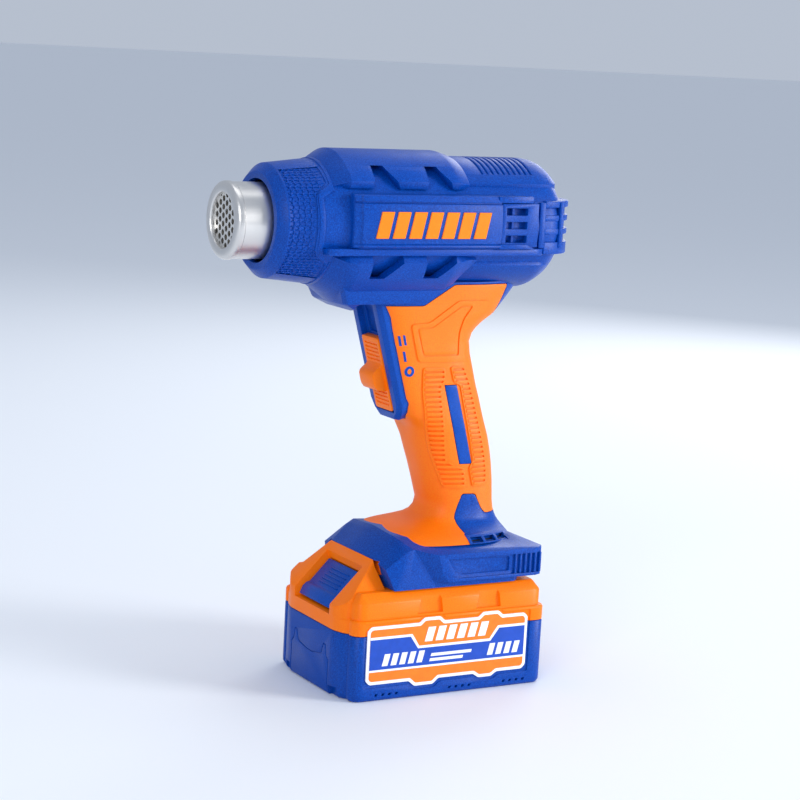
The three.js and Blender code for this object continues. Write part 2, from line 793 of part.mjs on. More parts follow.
function cell(x, z) {
  const end = cellLength / 2;
  const profile = [[0, -end], [cellRadius, -end], [cellRadius, end - 1], [3.2, end - 1], [3.2, end], [0, end]];
  const points = profile.map(([radius, y]) => new THREE.Vector2(radius, y));
  return solid(new THREE.LatheGeometry(points, 14).translate(x, 0, z));
}

// two end plates with a window at each pair of cells, joined above the cells
function cellHolder() {
  const [front, rear] = [-35, 56.6];
  let frame = block(-31, rear, -34.4, 34.4, 39.9, 40.8)
    .add(block(front, rear, -34.4, -32.8, 3.2, 40.8)).add(block(front, rear, 32.8, 34.4, 3.2, 40.8));
  for (let i = 0; i < 5; i++) {
    const x = cellPlaces[i][0];
    frame = frame.subtract(block(x - 4, x + 4, -40, 40, 8, 34));
  }
  return frame;
}

function packBoard() {
  return block(0, 54, -17.6, 17.6, 44.4, 46).add(block(4, 14, -10, 4, 45.8, 48.6));
}

function socketBlock() {
  const body = block(23.6, 44, -17.6, 17.6, 46.4, 55.2);
  return body.subtract(block(20, 50, -13.1, -10.9, 51.9, 60)).subtract(block(20, 50, 10.9, 13.1, 51.9, 60));
}

// the face in the window, an arm behind it, and the hook that holds the tool
function releaseButton() {
  const face = acrossY([
    slopePoint(-2.4, 4), slopePoint(2, 2.5), slopePoint(20.9, 2.5), slopePoint(20.9, 4.4), slopePoint(1.4, 4.6),
  ], -16.5, 16.5).intersect(block(-60, 0, -20, 20, 39.4, 70));
  const arm = block(-28, -9.2, -4, 4, 50, 52.6).intersect(acrossY([
    slopePoint(17, 3), slopePoint(30, -8), [0, 70], [0, 40], slopePoint(17, 12),
  ], -10, 10));
  const hook = acrossY([[-12.4, 50], [-12.4, 61.8], [-10.8, 63.6], [-9.2, 63.6], [-9.2, 50]], -4, 4);
  return face.add(arm).add(hook);
}

function buttonSpring() {
  const turns = 4;
  const steps = turns * 8;
  const height = 5.6;
  const points = Array.from({ length: steps + 1 }, (_, i) => {
    const angle = (i / steps) * turns * 2 * Math.PI;
    return new THREE.Vector3(-16 + 2.6 * Math.cos(angle), 2.6 * Math.sin(angle), 43.8 + (i / steps) * height);
  });
  return sweep(new THREE.CatmullRomCurve3(points), 0.4, steps, 5);
}

// ---- assembly ----
const shell = housing();
const gripPair = grips();
const badgePair = badges();
for (const [side, word] of [[-1, 'left'], [1, 'right']]) {
  add(`housing_${word}`, half(shell, side), bluePlastic);
  add(`grip_${word}`, half(gripPair, side), orangeRubber);
  add(`badge_${word}`, half(badgePair, side), bluePlastic);
  const y = railFace + 0.02;
  const bars = side < 0 ? acrossY(emblem(), -y - 0.6, -y) : acrossY(emblem(), y, y + 0.6);
  add(`emblem_${word}`, bars, orangePlastic);
}
add('nozzle_tube', nozzleTube(), stainless);
add('outlet_disc', outletDisc(), stainless);
add('mica_sleeve', ringTurned(-89, -30, 14.9, 16, 28), mica);
add('mica_cross', micaCross(), mica);
add('heater_coil', heaterCoil(), resistanceWire);
add('thermal_cutout', thermalCutout(), zincSteel);
add('fan_duct', fanDuct(), blackNylon);
add('fan_impeller', fanImpeller(), blackNylon);
add('motor_can', motorCan(), zincSteel);
add('motor_shaft', motorShaft(), stainless);
add('switch_bezel', onTrack(switchBezel()), bluePlastic);
add('switch_slider', onTrack(switchSlider()), orangePlastic);
add('switch_block', onTrack(switchBlock()), blackNylon);
add('detent_leaf', onTrack(detentLeaf()), stainless);
add('control_board', controlBoard(), boardGreen);
add('terminal_block', terminalBlock(), blackNylon);
add('blade_positive', blade(-12), copper);
add('blade_negative', blade(12), copper);
for (const [name, side, sleeve] of [['a', -1, redSleeve], ['b', 1, blackSleeve]]) {
  add(`heater_lead_${name}`, lead([
    [8, side * 7, 73], [29, side * 4, 84], [27.5, side * 3, 98], [20, side * 3, 120], [15, side * 3, 140],
    [12, side * 3, 165], [8, side * 3, 182], [2, side * 2.4, 194], [-2, side * 2.4, 203],
    [-12, side * 3, 210], [-27, side * 3.4, 214.4],
  ]), sleeve);
  add(`motor_lead_${name}`, lead([
    [16, side * 7, 73], [33, side * 7, 84], [31, side * 7, 98], [24, side * 7, 120], [19, side * 7, 140],
    [16, side * 7, 165], [12, side * 7, 182], [5, side * 5.4, 194], [2, side * 5.4, 203],
    [0.4, side * 6, 209], [4.8, side * 7, 212.5],
  ]), sleeve);
}
screwPlaces.forEach(([x, z], i) => add(`housing_screw_${i + 1}`, housingScrew(x, z), zincSteel));
add('pack_bottom_case', bottomCase(), bluePlastic);
add('pack_top_case', topCase(), orangePlastic);
add('pack_label_left', label(-1), labelFilm);
add('pack_label_right', label(1), labelFilm);
cellPlaces.forEach(([x, z], i) => add(`cell_${i + 1}`, cell(x, z), cellWrap));
add('cell_holder', cellHolder(), blackNylon);
add('pack_board', packBoard(), boardGreen);
add('socket_block', socketBlock(), blackNylon);
add('release_button', releaseButton(), bluePlastic);
add('button_spring', buttonSpring(), stainless);
packScrewPlaces.forEach(([x, y], i) => add(`pack_screw_${i + 1}`, packScrew(x, y), zincSteel));

tool.position.x = datumShift;

export default tool;
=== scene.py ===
# Cordless heat gun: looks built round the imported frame.  Sizes in the dictionaries are
# millimetres along the tool, measured from a datum 9 mm in front of the frame's origin.
import json
import math
import bpy
from mathutils import Vector, Matrix


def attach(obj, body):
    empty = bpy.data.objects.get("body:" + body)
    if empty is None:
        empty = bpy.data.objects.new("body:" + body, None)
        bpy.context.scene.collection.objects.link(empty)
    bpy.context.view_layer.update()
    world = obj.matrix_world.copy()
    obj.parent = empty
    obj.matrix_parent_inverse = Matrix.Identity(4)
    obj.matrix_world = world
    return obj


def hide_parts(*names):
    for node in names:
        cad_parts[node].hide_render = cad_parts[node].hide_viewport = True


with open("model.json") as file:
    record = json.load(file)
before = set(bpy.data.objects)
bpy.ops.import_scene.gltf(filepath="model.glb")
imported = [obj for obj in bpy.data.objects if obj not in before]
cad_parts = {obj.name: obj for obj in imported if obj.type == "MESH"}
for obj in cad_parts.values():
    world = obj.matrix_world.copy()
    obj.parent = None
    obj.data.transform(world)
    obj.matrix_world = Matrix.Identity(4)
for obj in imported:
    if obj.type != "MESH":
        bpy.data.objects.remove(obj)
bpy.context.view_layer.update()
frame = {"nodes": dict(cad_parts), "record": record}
print("frame loaded:", len(frame["nodes"]), "nodes")

mm = 0.001
datum = 9
barrelZ = 218.5
scene = bpy.context.scene


def at(x, y, z):
    return Vector(((x + datum) * mm, y * mm, z * mm))


def hexColour(text):
    # sRGB hex to linear
    parts = [int(text[i:i + 2], 16) / 255 for i in (1, 3, 5)]
    return tuple(p / 12.92 if p < 0.04045 else ((p + 0.055) / 1.055) ** 2.4 for p in parts) + (1,)


# ---- camera first ----
camera = {"pan": 30, "pitch": 9.3, "roll": -3.05, "lens": 97.97, "target": (0, 0, 134), "distance": 1028.7}


def makeCamera(settings):
    pan, pitch, roll = (math.radians(settings[k]) for k in ("pan", "pitch", "roll"))
    forward = Vector((math.sin(pan) * math.cos(pitch), math.cos(pan) * math.cos(pitch), -math.sin(pitch)))
    right = forward.cross(Vector((0, 0, 1))).normalized()
    up = right.cross(forward)
    turn = Matrix.Rotation(roll, 3, forward)
    right, up = turn @ right, turn @ up
    lensData = bpy.data.cameras.new("camera")
    lensData.lens = settings["lens"]
    lensData.clip_start = 0.05
    view = bpy.data.objects.new("camera", lensData)
    scene.collection.objects.link(view)
    basis = Matrix((right, up, -forward)).transposed().to_4x4()
    basis.translation = at(*settings["target"]) - forward * settings["distance"] * mm
    view.matrix_world = basis
    scene.camera = view
    return view


view = makeCamera(camera)
print("camera", [round(v, 4) for v in view.matrix_world.translation])


# ---- modelling helpers ----
def deselect():
    if bpy.context.object and bpy.context.object.mode != "OBJECT":
        bpy.ops.object.mode_set(mode="OBJECT")
    bpy.ops.object.select_all(action="DESELECT")


def pick(piece):
    deselect()
    piece.select_set(True)
    bpy.context.view_layer.objects.active = piece
    return piece


def fresh(name, verts, edges=(), faces=()):
    mesh = bpy.data.meshes.new(name)
    mesh.from_pydata([tuple(v) for v in verts], edges, faces)
    piece = bpy.data.objects.new(name, mesh)
    scene.collection.objects.link(piece)
    return pick(piece)


def applyModifiers(piece):
    pick(piece)
    for modifier in list(piece.modifiers):
        bpy.ops.object.modifier_apply(modifier=modifier.name)
    return piece


def cleanUp(piece, distance=0.002):
    pick(piece)
    bpy.ops.object.mode_set(mode="EDIT")
    bpy.ops.mesh.select_all(action="SELECT")
    bpy.ops.mesh.remove_doubles(threshold=distance * mm)
    bpy.ops.mesh.normals_make_consistent(inside=False)
    bpy.ops.object.mode_set(mode="OBJECT")
    return piece


def smooth(piece, degrees=32):
    pick(piece)
    bpy.ops.object.shade_smooth_by_angle(angle=math.radians(degrees))
    return piece


def soften(piece, width, segments=2, degrees=32):
    # rounds each edge sharper than the angle
    bevel = piece.modifiers.new("round", "BEVEL")
    bevel.width = width * mm
    bevel.segments = segments
    bevel.limit_method = "ANGLE"
    bevel.angle_limit = math.radians(degrees)
    bevel.use_clamp_overlap = True
    applyModifiers(piece)
    return smooth(piece, degrees)


def cut(piece, tool, kind="DIFFERENCE"):
    boolean = piece.modifiers.new("cut", "BOOLEAN")
    boolean.operation = kind
    boolean.solver = "EXACT"
    boolean.object = tool
    applyModifiers(piece)
    bpy.data.objects.remove(tool)
    return piece


def join(*pieces):
    pick(pieces[0])
    for piece in pieces:
        piece.select_set(True)
    bpy.ops.object.join()
    return pieces[0]


def settle(piece):
    # the place goes into the mesh
    pick(piece)
    bpy.ops.object.transform_apply(location=True, rotation=True, scale=True)
    return piece


def box(name, x0, x1, y0, y1, z0, z1):
    deselect()
    bpy.ops.mesh.primitive_cube_add(size=1, location=at((x0 + x1) / 2, (y0 + y1) / 2, (z0 + z1) / 2))
    piece = bpy.context.object
    piece.name = name
    piece.scale = ((x1 - x0) * mm, (y1 - y0) * mm, (z1 - z0) * mm)
    return settle(piece)


def sweepFace(name, corners, travel):
    # a flat outline, extruded along a vector
    piece = fresh(name, corners, faces=[list(range(len(corners)))])
    bpy.ops.object.mode_set(mode="EDIT")
    bpy.ops.mesh.select_all(action="SELECT")
    bpy.ops.mesh.extrude_region_move(TRANSFORM_OT_translate={"value": travel})
    bpy.ops.object.mode_set(mode="OBJECT")
    return cleanUp(piece)


def acrossY(name, outline, y0, y1):
    return sweepFace(name, [at(x, y0, z) for x, z in outline], (0, (y1 - y0) * mm, 0))


def alongX(name, outline, x0, x1):
    return sweepFace(name, [at(x0, y, z) for y, z in outline], ((x1 - x0) * mm, 0, 0))


def upZ(name, outline, z0, z1):
    return sweepFace(name, [at(x, y, z0) for x, y in outline], (0, 0, (z1 - z0) * mm))


def turned(name, profile, sides=96, closed=False):
    # a profile of (x, radius) pairs, spun round the barrel's axis
    edges = [(i, i + 1) for i in range(len(profile) - 1)]
    if closed:
        edges.append((len(profile) - 1, 0))
    piece = fresh(name, [at(x, 0, barrelZ + r) for x, r in profile], edges)
    bpy.ops.object.mode_set(mode="EDIT")
    bpy.ops.mesh.select_all(action="SELECT")
    bpy.ops.mesh.spin(steps=sides, angle=2 * math.pi, center=at(0, 0, barrelZ), axis=(1, 0, 0))
    bpy.ops.object.mode_set(mode="OBJECT")
    return cleanUp(piece)


def loft(name, rings, ends=True):
    # a skin over equal rings of points; without ends the last ring joins the first
    count = len(rings[0])
    verts = [at(*p) for ring in rings for p in ring]
    faces = []
    rows = len(rings)
    for r in range(rows - 1 if ends else rows):
        a, b = r * count, ((r + 1) % rows) * count
        faces += [(a + i, a + (i + 1) % count, b + (i + 1) % count, b + i) for i in range(count)]
    if ends:
        faces += [list(range(count))[::-1], list(range((rows - 1) * count, rows * count))]
    return cleanUp(fresh(name, verts, faces=faces))


def mirrored(piece):
    # the same piece for the other side of the tool
    pick(piece)
    bpy.ops.object.duplicate()
    twin = bpy.context.object
    twin.scale.y = -1
    settle(twin)
    return cleanUp(twin)


def bothSides(piece):
    return join(piece, mirrored(piece))


def between(side, near, far):
    # two distances from the middle plane, on one side of it, as low and high
    return sorted((side * near, side * far))


def evenly(half):
    # an outline seen from above, from its left half
    return half + [(x, -y) for x, y in half[::-1]]


def fromLeft(half):
    # the same for an outline seen from the front
    return half + [(-y, z) for y, z in half[::-1]]


def sideLoft(name, side, *rings):
    return loft(name, [[(x, side * y, z) for x, y, z in ring] for ring in rings])


def rounded(points, radius, steps=4):
    # an outline with each corner turned into a short arc
    result = []
    count = len(points)
    for i, (x, z) in enumerate(points):
        ax, az = points[i - 1]
        bx, bz = points[(i + 1) % count]
        la, lb = math.hypot(ax - x, az - z), math.hypot(bx - x, bz - z)
        r = min(radius, la * 0.45, lb * 0.45)
        p = (x + (ax - x) / la * r, z + (az - z) / la * r)
        q = (x + (bx - x) / lb * r, z + (bz - z) / lb * r)
        for k in range(steps + 1):
            t = k / steps
            result.append(((1 - t) ** 2 * p[0] + 2 * t * (1 - t) * x + t * t * q[0],
                           (1 - t) ** 2 * p[1] + 2 * t * (1 - t) * z + t * t * q[1]))
    return result


def grown(points, distance):
    # the outline moved out (or in, if negative) along each edge's normal
    count = len(points)
    area = sum(points[i - 1][0] * points[i][1] - points[i][0] * points[i - 1][1] for i in range(count))
    sign = 1 if area > 0 else -1
    moved = []
    for i in range(count):
        (ax, az), (bx, bz), (cx, cz) = points[i - 1], points[i], points[(i + 1) % count]
        n1 = Vector((bz - az, ax - bx)).normalized() * sign
        n2 = Vector((cz - bz, bx - cx)).normalized() * sign
        n = (n1 + n2)
        scale = distance / max(0.35, n.length_squared / 2)
        moved.append((bx + n.x * scale, bz + n.y * scale))
    return moved


# side view of the overmould
gripOutline = [(-34, 180.8), (0.3, 180.8), (16, 190.6), (47, 190.6), (42.6, 176), (46, 173.2), (80, 173), (80, 80.6),
               (41, 80.6), (38.6, 83), (34.8, 90.3), (27.4, 90.6), (25.6, 85.5), (23.4, 79.2), (24, 75.5),
               (26.5, 69), (-34, 69)]


def place(piece, body, material, slot, *nodes):
    piece.data.materials.clear()
    piece.data.materials.append(material)
    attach(piece, body)
    if nodes:
        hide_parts(*nodes)
    return piece


# ---- materials ----
def addNode(tree, kind, settings=None, links=None):
    # settings: socket or attribute name to value; links: socket name to (node, output)
    node = tree.nodes.new(kind)
    for key, value in (settings or {}).items():
        if key in node.inputs:
            node.inputs[key].default_value = value
        else:
            setattr(node, key, value)
    for key, (source, output) in (links or {}).items():
        tree.links.new(source.outputs[output], node.inputs[key])
    return node


def newMaterial(name, settings):
    material = bpy.data.materials.new(name)
    material.use_nodes = True
    tree = material.node_tree
    shader = tree.nodes["Principled BSDF"]
    for key, value in settings.items():
        shader.inputs[key].default_value = value
    return material, tree, shader, addNode(tree, "ShaderNodeTexCoord")


def noise(tree, place, scale, detail, roughness=0.5):
    settings = {"Scale": scale, "Detail": detail, "Roughness": roughness}
    return addNode(tree, "ShaderNodeTexNoise", settings, {"Vector": place})


def ranged(tree, source, target, settings):
    # a noise, brought to a range of values for one socket
    spread = addNode(tree, "ShaderNodeMapRange", settings, {"Value": (source, "Fac")})
    tree.links.new(spread.outputs[0], target)


def bumped(tree, source, shader, depth, distance=0.0001):
    bump = addNode(tree, "ShaderNodeBump", {"Strength": depth, "Distance": distance}, {"Height": (source, "Fac")})
    tree.links.new(bump.outputs[0], shader.inputs["Normal"])


def mouldedPlastic(name, deep, light, roughness, grain, depth, specular=0.2):
    # injection moulded in a spark-eroded tool: a fine even grain that breaks up the shine.
    # The real grain is about 0.15 mm; it is drawn a little coarser so that it shows.
    material, tree, shader, place = newMaterial(name, {"IOR": 1.5, "Specular IOR Level": specular})
    pebbles = noise(tree, (place, "Object"), 1 / (grain * mm), 2, 0.6)
    cloud = noise(tree, (place, "Object"), 60, 3)
    tint = addNode(tree, "ShaderNodeMix", {"data_type": "RGBA"})
    factor, first, second, blended = tint.inputs[0], tint.inputs[6], tint.inputs[7], tint.outputs[2]
    first.default_value = hexColour(deep)
    second.default_value = hexColour(light)
    ranged(tree, pebbles, factor, {"From Min": 0.35, "From Max": 0.7})
    tree.links.new(blended, shader.inputs["Base Color"])
    ranged(tree, cloud, shader.inputs["Roughness"],
           {"From Min": 0.3, "From Max": 0.7, "To Min": roughness - 0.06, "To Max": roughness + 0.08})
    bumped(tree, pebbles, shader, depth)
    return material


def drawnSteel(name, colour, roughness, stretch=(1, 60, 60)):
    # stainless tube, drawn and then polished along its length: fine lines run with the barrel
    material, tree, shader, place = newMaterial(name, {"Metallic": 1, "Base Color": hexColour(colour)})
    lines = addNode(tree, "ShaderNodeMapping", {"Scale": stretch}, {"Vector": (place, "Object")})
    grain = noise(tree, (lines, 0), 40, 4)
    ranged(tree, grain, shader.inputs["Roughness"], {"To Min": roughness - 0.07, "To Max": roughness + 0.1})
    bumped(tree, grain, shader, 0.08, 0.00005)
    return material


def sheetFinish(name, colour, roughness, metallic=0, scale=400, depth=0.1):
    # a plain worked surface: slight colour change, slight unevenness
    material, tree, shader, place = newMaterial(name, {"Metallic": metallic})
    mottle = noise(tree, (place, "Object"), scale, 3)
    tone = addNode(tree, "ShaderNodeHueSaturation", {"Color": hexColour(colour)})
    ranged(tree, mottle, tone.inputs["Value"], {"To Min": 0.8, "To Max": 1.15})
    tree.links.new(tone.outputs[0], shader.inputs["Base Color"])
    ranged(tree, mottle, shader.inputs["Roughness"], {"To Min": roughness - 0.08, "To Max": roughness + 0.08})
    bumped(tree, mottle, shader, depth)
    return material


blueNylon = mouldedPlastic("blue glass-filled nylon", "#00348A", "#0050B8", 0.38, 0.55, 0.5)
blueAbs = mouldedPlastic("blue ABS", "#003E96", "#0050BA", 0.34, 0.45, 0.22)
orangeTpe = mouldedPlastic("orange TPE overmould", "#FF6E00", "#FF8000", 0.46, 0.5, 0.45, 0.3)
orangeAbs = mouldedPlastic("orange ABS", "#FF7200", "#FF8000", 0.38, 0.5, 0.3)
orangeInk = mouldedPlastic("orange pad-printed inlay", "#FF7C00", "#FF8600", 0.4, 0.5, 0.08)
stainless = drawnSteel("stainless steel tube", "#DAD8D5", 0.32)
discSteel = drawnSteel("punched stainless sheet", "#E4E2DE", 0.36, (40, 40, 1))
zincSteel = sheetFinish("zinc-plated steel", "#A6A9AC", 0.34, 1, 900)
# also used for the black sheet behind the vents, which is painted shade
blackNylonAndVentShade = sheetFinish("black nylon and painted vent shade", "#17181B", 0.5, 0, 1400)
whiteFilm = sheetFinish("white printed film", "#F2F4FA", 0.32, 0, 300, 0.05)
blueFilm = sheetFinish("blue printed film", "#0047B8", 0.32, 0, 300, 0.05)
orangeFilm = sheetFinish("orange printed film", "#FF7C08", 0.32, 0, 300, 0.05)

slotLook = {
    "blue_housing": blueNylon, "orange_grip": orangeTpe, "blue_badge": blueAbs, "orange_emblem": orangeInk,
    "stainless_nozzle": stainless, "motor_steel": zincSteel, "zinc_screws": zincSteel, "black_nylon": blackNylonAndVentShade,
    "blue_bezel": blueAbs, "orange_slider": orangeAbs, "blue_pack": blueNylon, "orange_pack": orangeAbs,
    "blue_button": blueAbs, "label_film": whiteFilm,
    "spring_steel": sheetFinish("bright spring wire", "#B8B8B8", 0.25, 1, 900),
    "copper_blades": sheetFinish("tinned copper", "#C79A72", 0.3, 1, 900),
    "heater_wire": sheetFinish("oxidised resistance wire", "#7C736A", 0.45, 1, 700),
    "mica": sheetFinish("layered mica", "#B3A283", 0.55, 0, 350, 0.3),
    "circuit_board": sheetFinish("green solder mask", "#17572F", 0.35, 0, 600),
    "red_lead": sheetFinish("red silicone sleeve", "#B21F18", 0.5, 0, 800),
    "black_lead": sheetFinish("black silicone sleeve", "#141517", 0.5, 0, 800),
    "cell_wrap": sheetFinish("PVC shrink wrap", "#2B67AB", 0.35, 0, 200),
}
for entry in frame["record"]["subparts"]:
    node = frame["nodes"][entry["node"]]
    node.data.materials.clear()
    node.data.materials.append(slotLook[entry["material_slot"]])
print("materials ready")


# ---- nozzle ----
nozzle = {"tubeRadius": 17.3, "lipRadius": 17.7, "mouth": 12.3, "lipX": -96.5, "rearX": -60,
          "pitch": 3.8, "hole": 1.36, "discX": -94}


def makeNozzle(size):
    lip, front, radius, mouth = size["lipRadius"], size["lipX"], size["tubeRadius"], size["mouth"]
    # distances behind the lip's face, with the radius there
    steps = [(1, mouth), (0.5, mouth + 0.15), (0.15, mouth + 0.5), (0, mouth + 1.1), (0, lip - 2.4), (0.15, lip - 1.5),
             (0.5, lip - 0.8), (1.1, lip - 0.25), (1.9, lip), (3.4, lip), (3.45, lip - 0.05), (3.5, radius - 0.15),
             (3.9, radius - 0.15), (3.95, radius - 0.05), (4, radius), (4.6, radius), (-70 - front, radius),
             (size["rearX"] - front, radius), (size["rearX"] - front, radius - 0.9), (4.5, radius - 0.9), (3, mouth)]
    profile = [(front + back, r) for back, r in steps]
    return smooth(turned("nozzleLip", profile, 128, closed=True), 30)


def makeDisc(size):
    # round holes in a triangular pattern, as punched sheet has
    radius = size["mouth"] + 0.6
    face, back = size["discX"], size["discX"] + 0.9
    disc = turned("outletDiscPlate", [(face, 0), (face, radius), (back, radius), (back, 0)], 72)
    step = size["pitch"] * math.sqrt(3) / 2
    punches = []
    for column in range(-3, 4):
        for row in range(-4, 5):
            y, z = column * step, (row + (0.5 if column % 2 else 0)) * size["pitch"]
            if math.hypot(y, z) > size["mouth"] + 1.2:
                continue
            deselect()
            bpy.ops.mesh.primitive_cylinder_add(vertices=20, radius=size["hole"] * mm, depth=4 * mm,
                                                location=at(face, y, barrelZ + z), rotation=(0, math.pi / 2, 0))
            punches.append(settle(bpy.context.object))
    cut(disc, join(*punches))
    return smooth(disc, 30)


place(makeNozzle(nozzle), "tool", stainless, "stainless_nozzle", "nozzle_tube")
place(makeDisc(nozzle), "tool", discSteel, "stainless_nozzle", "outlet_disc")
print("nozzle done")


# ---- barrel: collar, core, thick shells, rear shell ----
barrel = {"front": -79.8, "shellFront": -45.6, "shellRear": 9.1, "stepRear": 16.9, "shell": 33.3, "wall": 4.6,
          "belly": 37, "rear": 30.8, "core": 29.4, "dome": 58.5, "domeLength": 18, "channelTop": 235.4,
          "channelBottom": 205.5, "edge": 3.3}


def collarRadius(x):
    return 26 + (x + 76) * (28.6 - 26) / 23


def domeCurve(radius, x0, length, steps=14, stop=90):
    curve = []
    for i in range(1, steps + 1):
        angle = math.radians(stop * i / steps)
        curve.append((x0 + length * math.sin(angle), radius * math.cos(angle)))
    return curve


# side view of the patterned panel and of the notch behind it
treadPanel = [(-75.2, 196.2), (-75.2, 242.1), (-56.4, 243.8), (-55.9, 237.2), (-60.6, 233.4), (-62.2, 230.6),
              (-62.2, 207.6), (-60.4, 204.8), (-55.3, 201.4), (-55, 193.8)]
sideNotch = [(-50, 203.6), (-51.1, 204.5), (-58.6, 208.4), (-59.1, 231), (-52.4, 234.9), (-50, 236)]


def makeCollar(size):
    # chamfered front ring, then a cone with a patterned panel sunk in each side
    front = size["front"]
    profile = [(front, 19), (front, 22), (front + 0.3, 22.5), (-76.3, 25.75), (-75.9, 26),
               (-75.4, collarRadius(-75.4)), (-53.4, collarRadius(-53.4)), (-53.4, 25), (-72, 22.5), (-77, 19)]
    base = turned("collar", profile, 128, closed=True)
    # a raised rim along the rear edge steps forward round the notch
    rim = turned("collarRim", [(-64, 26), (-64, collarRadius(-64) + 0.3), (-53.3, collarRadius(-53.3) + 0.3),
                               (-52.9, 28.4), (-52.9, 26)], 128, closed=True)
    for y0, y1 in ((-40, -8), (8, 40)):
        panel = acrossY("panel", treadPanel, y0, y1)
        sleeve = [(-79, collarRadius(-79) - 0.6), (-79, 40), (-50, 40), (-50, collarRadius(-50) - 0.6)]
        cut(panel, turned("sleeve", sleeve, 128, closed=True), kind="INTERSECT")
        cut(base, panel)
    inner = [(-70, 190), (-70, 246), (-54.8, 246), (-54.8, 236.9), (-60.2, 233.6), (-61.4, 231.2), (-61.1, 207.4),
             (-59.7, 205.6), (-53.6, 202.4), (-54.8, 196), (-54.8, 190)]
    cut(rim, acrossY("inner", inner, -40, 40))
    for low, high in ((243, 260), (170, 192)):
        cut(rim, acrossY("ends", [(-70, low), (-70, high), (-54.8, high), (-54.8, low)], -40, 40))
    for part in (rim, base):
        cut(part, acrossY("notch", sideNotch, -40, 40))
    soften(rim, 0.35, 2, 40)
    soften(base, 0.22, 2, 30)
    return join(base, rim)


def isInside(outline, x, z):
    inside = False
    for (ax, az), (bx, bz) in zip(outline, outline[1:] + outline[:1]):
        if (az > z) != (bz > z) and x < ax + (z - az) / (bz - az) * (bx - ax):
            inside = not inside
    return inside


def makeTread():
    # meandering raised lines nest in each other down the panel, like a tyre's sipes
    tread = {"first": -73.75, "pitch": 2.73, "columns": 7, "wave": 3.75, "swing": 0.82, "wire": 0.27,
             "points": 14, "turn": 1.85}
    curve = bpy.data.curves.new("tread", "CURVE")
    curve.dimensions = "3D"
    curve.bevel_depth = tread["wire"] * mm
    curve.bevel_resolution = 1
    # one wave: the heading swings to and fro, so that the loops bulge
    along, across, wave = 0, 0, []
    for i in range(tread["points"]):
        heading = tread["turn"] * math.cos(2 * math.pi * (i + 0.5) / tread["points"])
        wave.append((along, across))
        along += math.cos(heading)
        across += math.sin(heading)
    reach = max(p[1] for p in wave)
    wave = [(p[0] / along * tread["wave"], (p[1] / reach * 2 - 1) * tread["swing"]) for p in wave]
    rimLine = grown(treadPanel, -0.3)
    for column in range(tread["columns"]):
        middle = tread["first"] + column * tread["pitch"]
        run = []
        for lap in range(-9, 10):
            for step, sway in wave:
                x = middle + sway
                radius = collarRadius(x) - 0.45
                angle = (lap * tread["wave"] + step) / collarRadius(middle)
                z = barrelZ + radius * math.sin(angle)
                if isInside(rimLine, x, z) and abs(angle) < 1.5:
                    run.append(at(x, -radius * math.cos(angle), z))
                    continue
                addSpline(curve, run)
                run = []
        addSpline(curve, run)
    line = bpy.data.objects.new("collarTread", curve)
    scene.collection.objects.link(line)
    pick(line)
    bpy.ops.object.convert(target="MESH")
    return bothSides(smooth(bpy.context.object, 60))


def addSpline(curve, points):
    if len(points) < 3:
        return
    spline = curve.splines.new("POLY")
    spline.points.add(len(points) - 1)
    for p, point in zip(spline.points, points):
        p.co = (*point, 1)


def makeCore(size):
    r = size["core"]
    front, wall = [(-60.5, 27.2), (-53, 28.3), (-46, r), (size["dome"], r)], 2.4
    outer = front + domeCurve(r, size["dome"], size["domeLength"] - 0.4)
    inner = [(x, y - wall) for x, y in front] + domeCurve(r - wall, size["dome"], size["domeLength"] - 3)
    core = turned("barrelCore", outer + inner[::-1], 96)
    return smooth(core, 35)


def arcPoints(side, height, low, count, top):
    # points of an elliptical arc above (top) or below the axis, from one edge to the other
    sign = 1 if top else -1
    start = math.asin(min(1, low / height))
    points = []
    for i in range(count + 1):
        angle = start + (math.pi - 2 * start) * i / count
        points.append((-side * math.cos(angle), sign * height * math.sin(angle)))
    return points


def shellSection(x, side, height, edge, chamfer, thick, top, count=56):
    # one closed section of a shell: outer arc, a chamfered lower edge, inner arc
    outer = arcPoints(side, height, edge + chamfer, count, top)
    sign = 1 if top else -1
    edgeY = 1 if edge > height else math.sqrt(1 - (edge / height) ** 2)
    foot = side * edgeY - 3 * (chamfer > 0)
    inner = arcPoints(side - thick, height - thick, edge + 0.01, count, top)
    foot = max(foot, inner[-1][0] + 0.2)
    points = [(-foot, sign * edge)] + outer + [(foot, sign * edge)] + inner[::-1]
    return [(x, y, barrelZ + z) for y, z in points]


def cutPockets(shell, top):
    for x in (-33.5, -5.5):
        for side in (-1, 1):
            cut(shell, pocketTool(x, side, top))
    return soften(shell, 0.3, 2, 24)


def makeUpperShell(size):
    edge, full, bevel, step = size["channelTop"] - barrelZ, size["shell"], size["edge"], size["stepRear"]
    rows = [(-53.4, 27.6, 0.4), (-53, 28.6, 0.6), (-46, 33.1, 3.2), (size["shellFront"], full, bevel),
            (size["shellRear"], full, bevel), (10.5, 33.1, 3.2), (14.6, 31.9, 2.6), (step, 31, 2),
            (step + 0.6, 30.2, 2)]
    rings = [shellSection(x, r, r, edge, c, size["wall"], True) for x, r, c in rows]
    return cutPockets(loft("upperShell", rings), True)


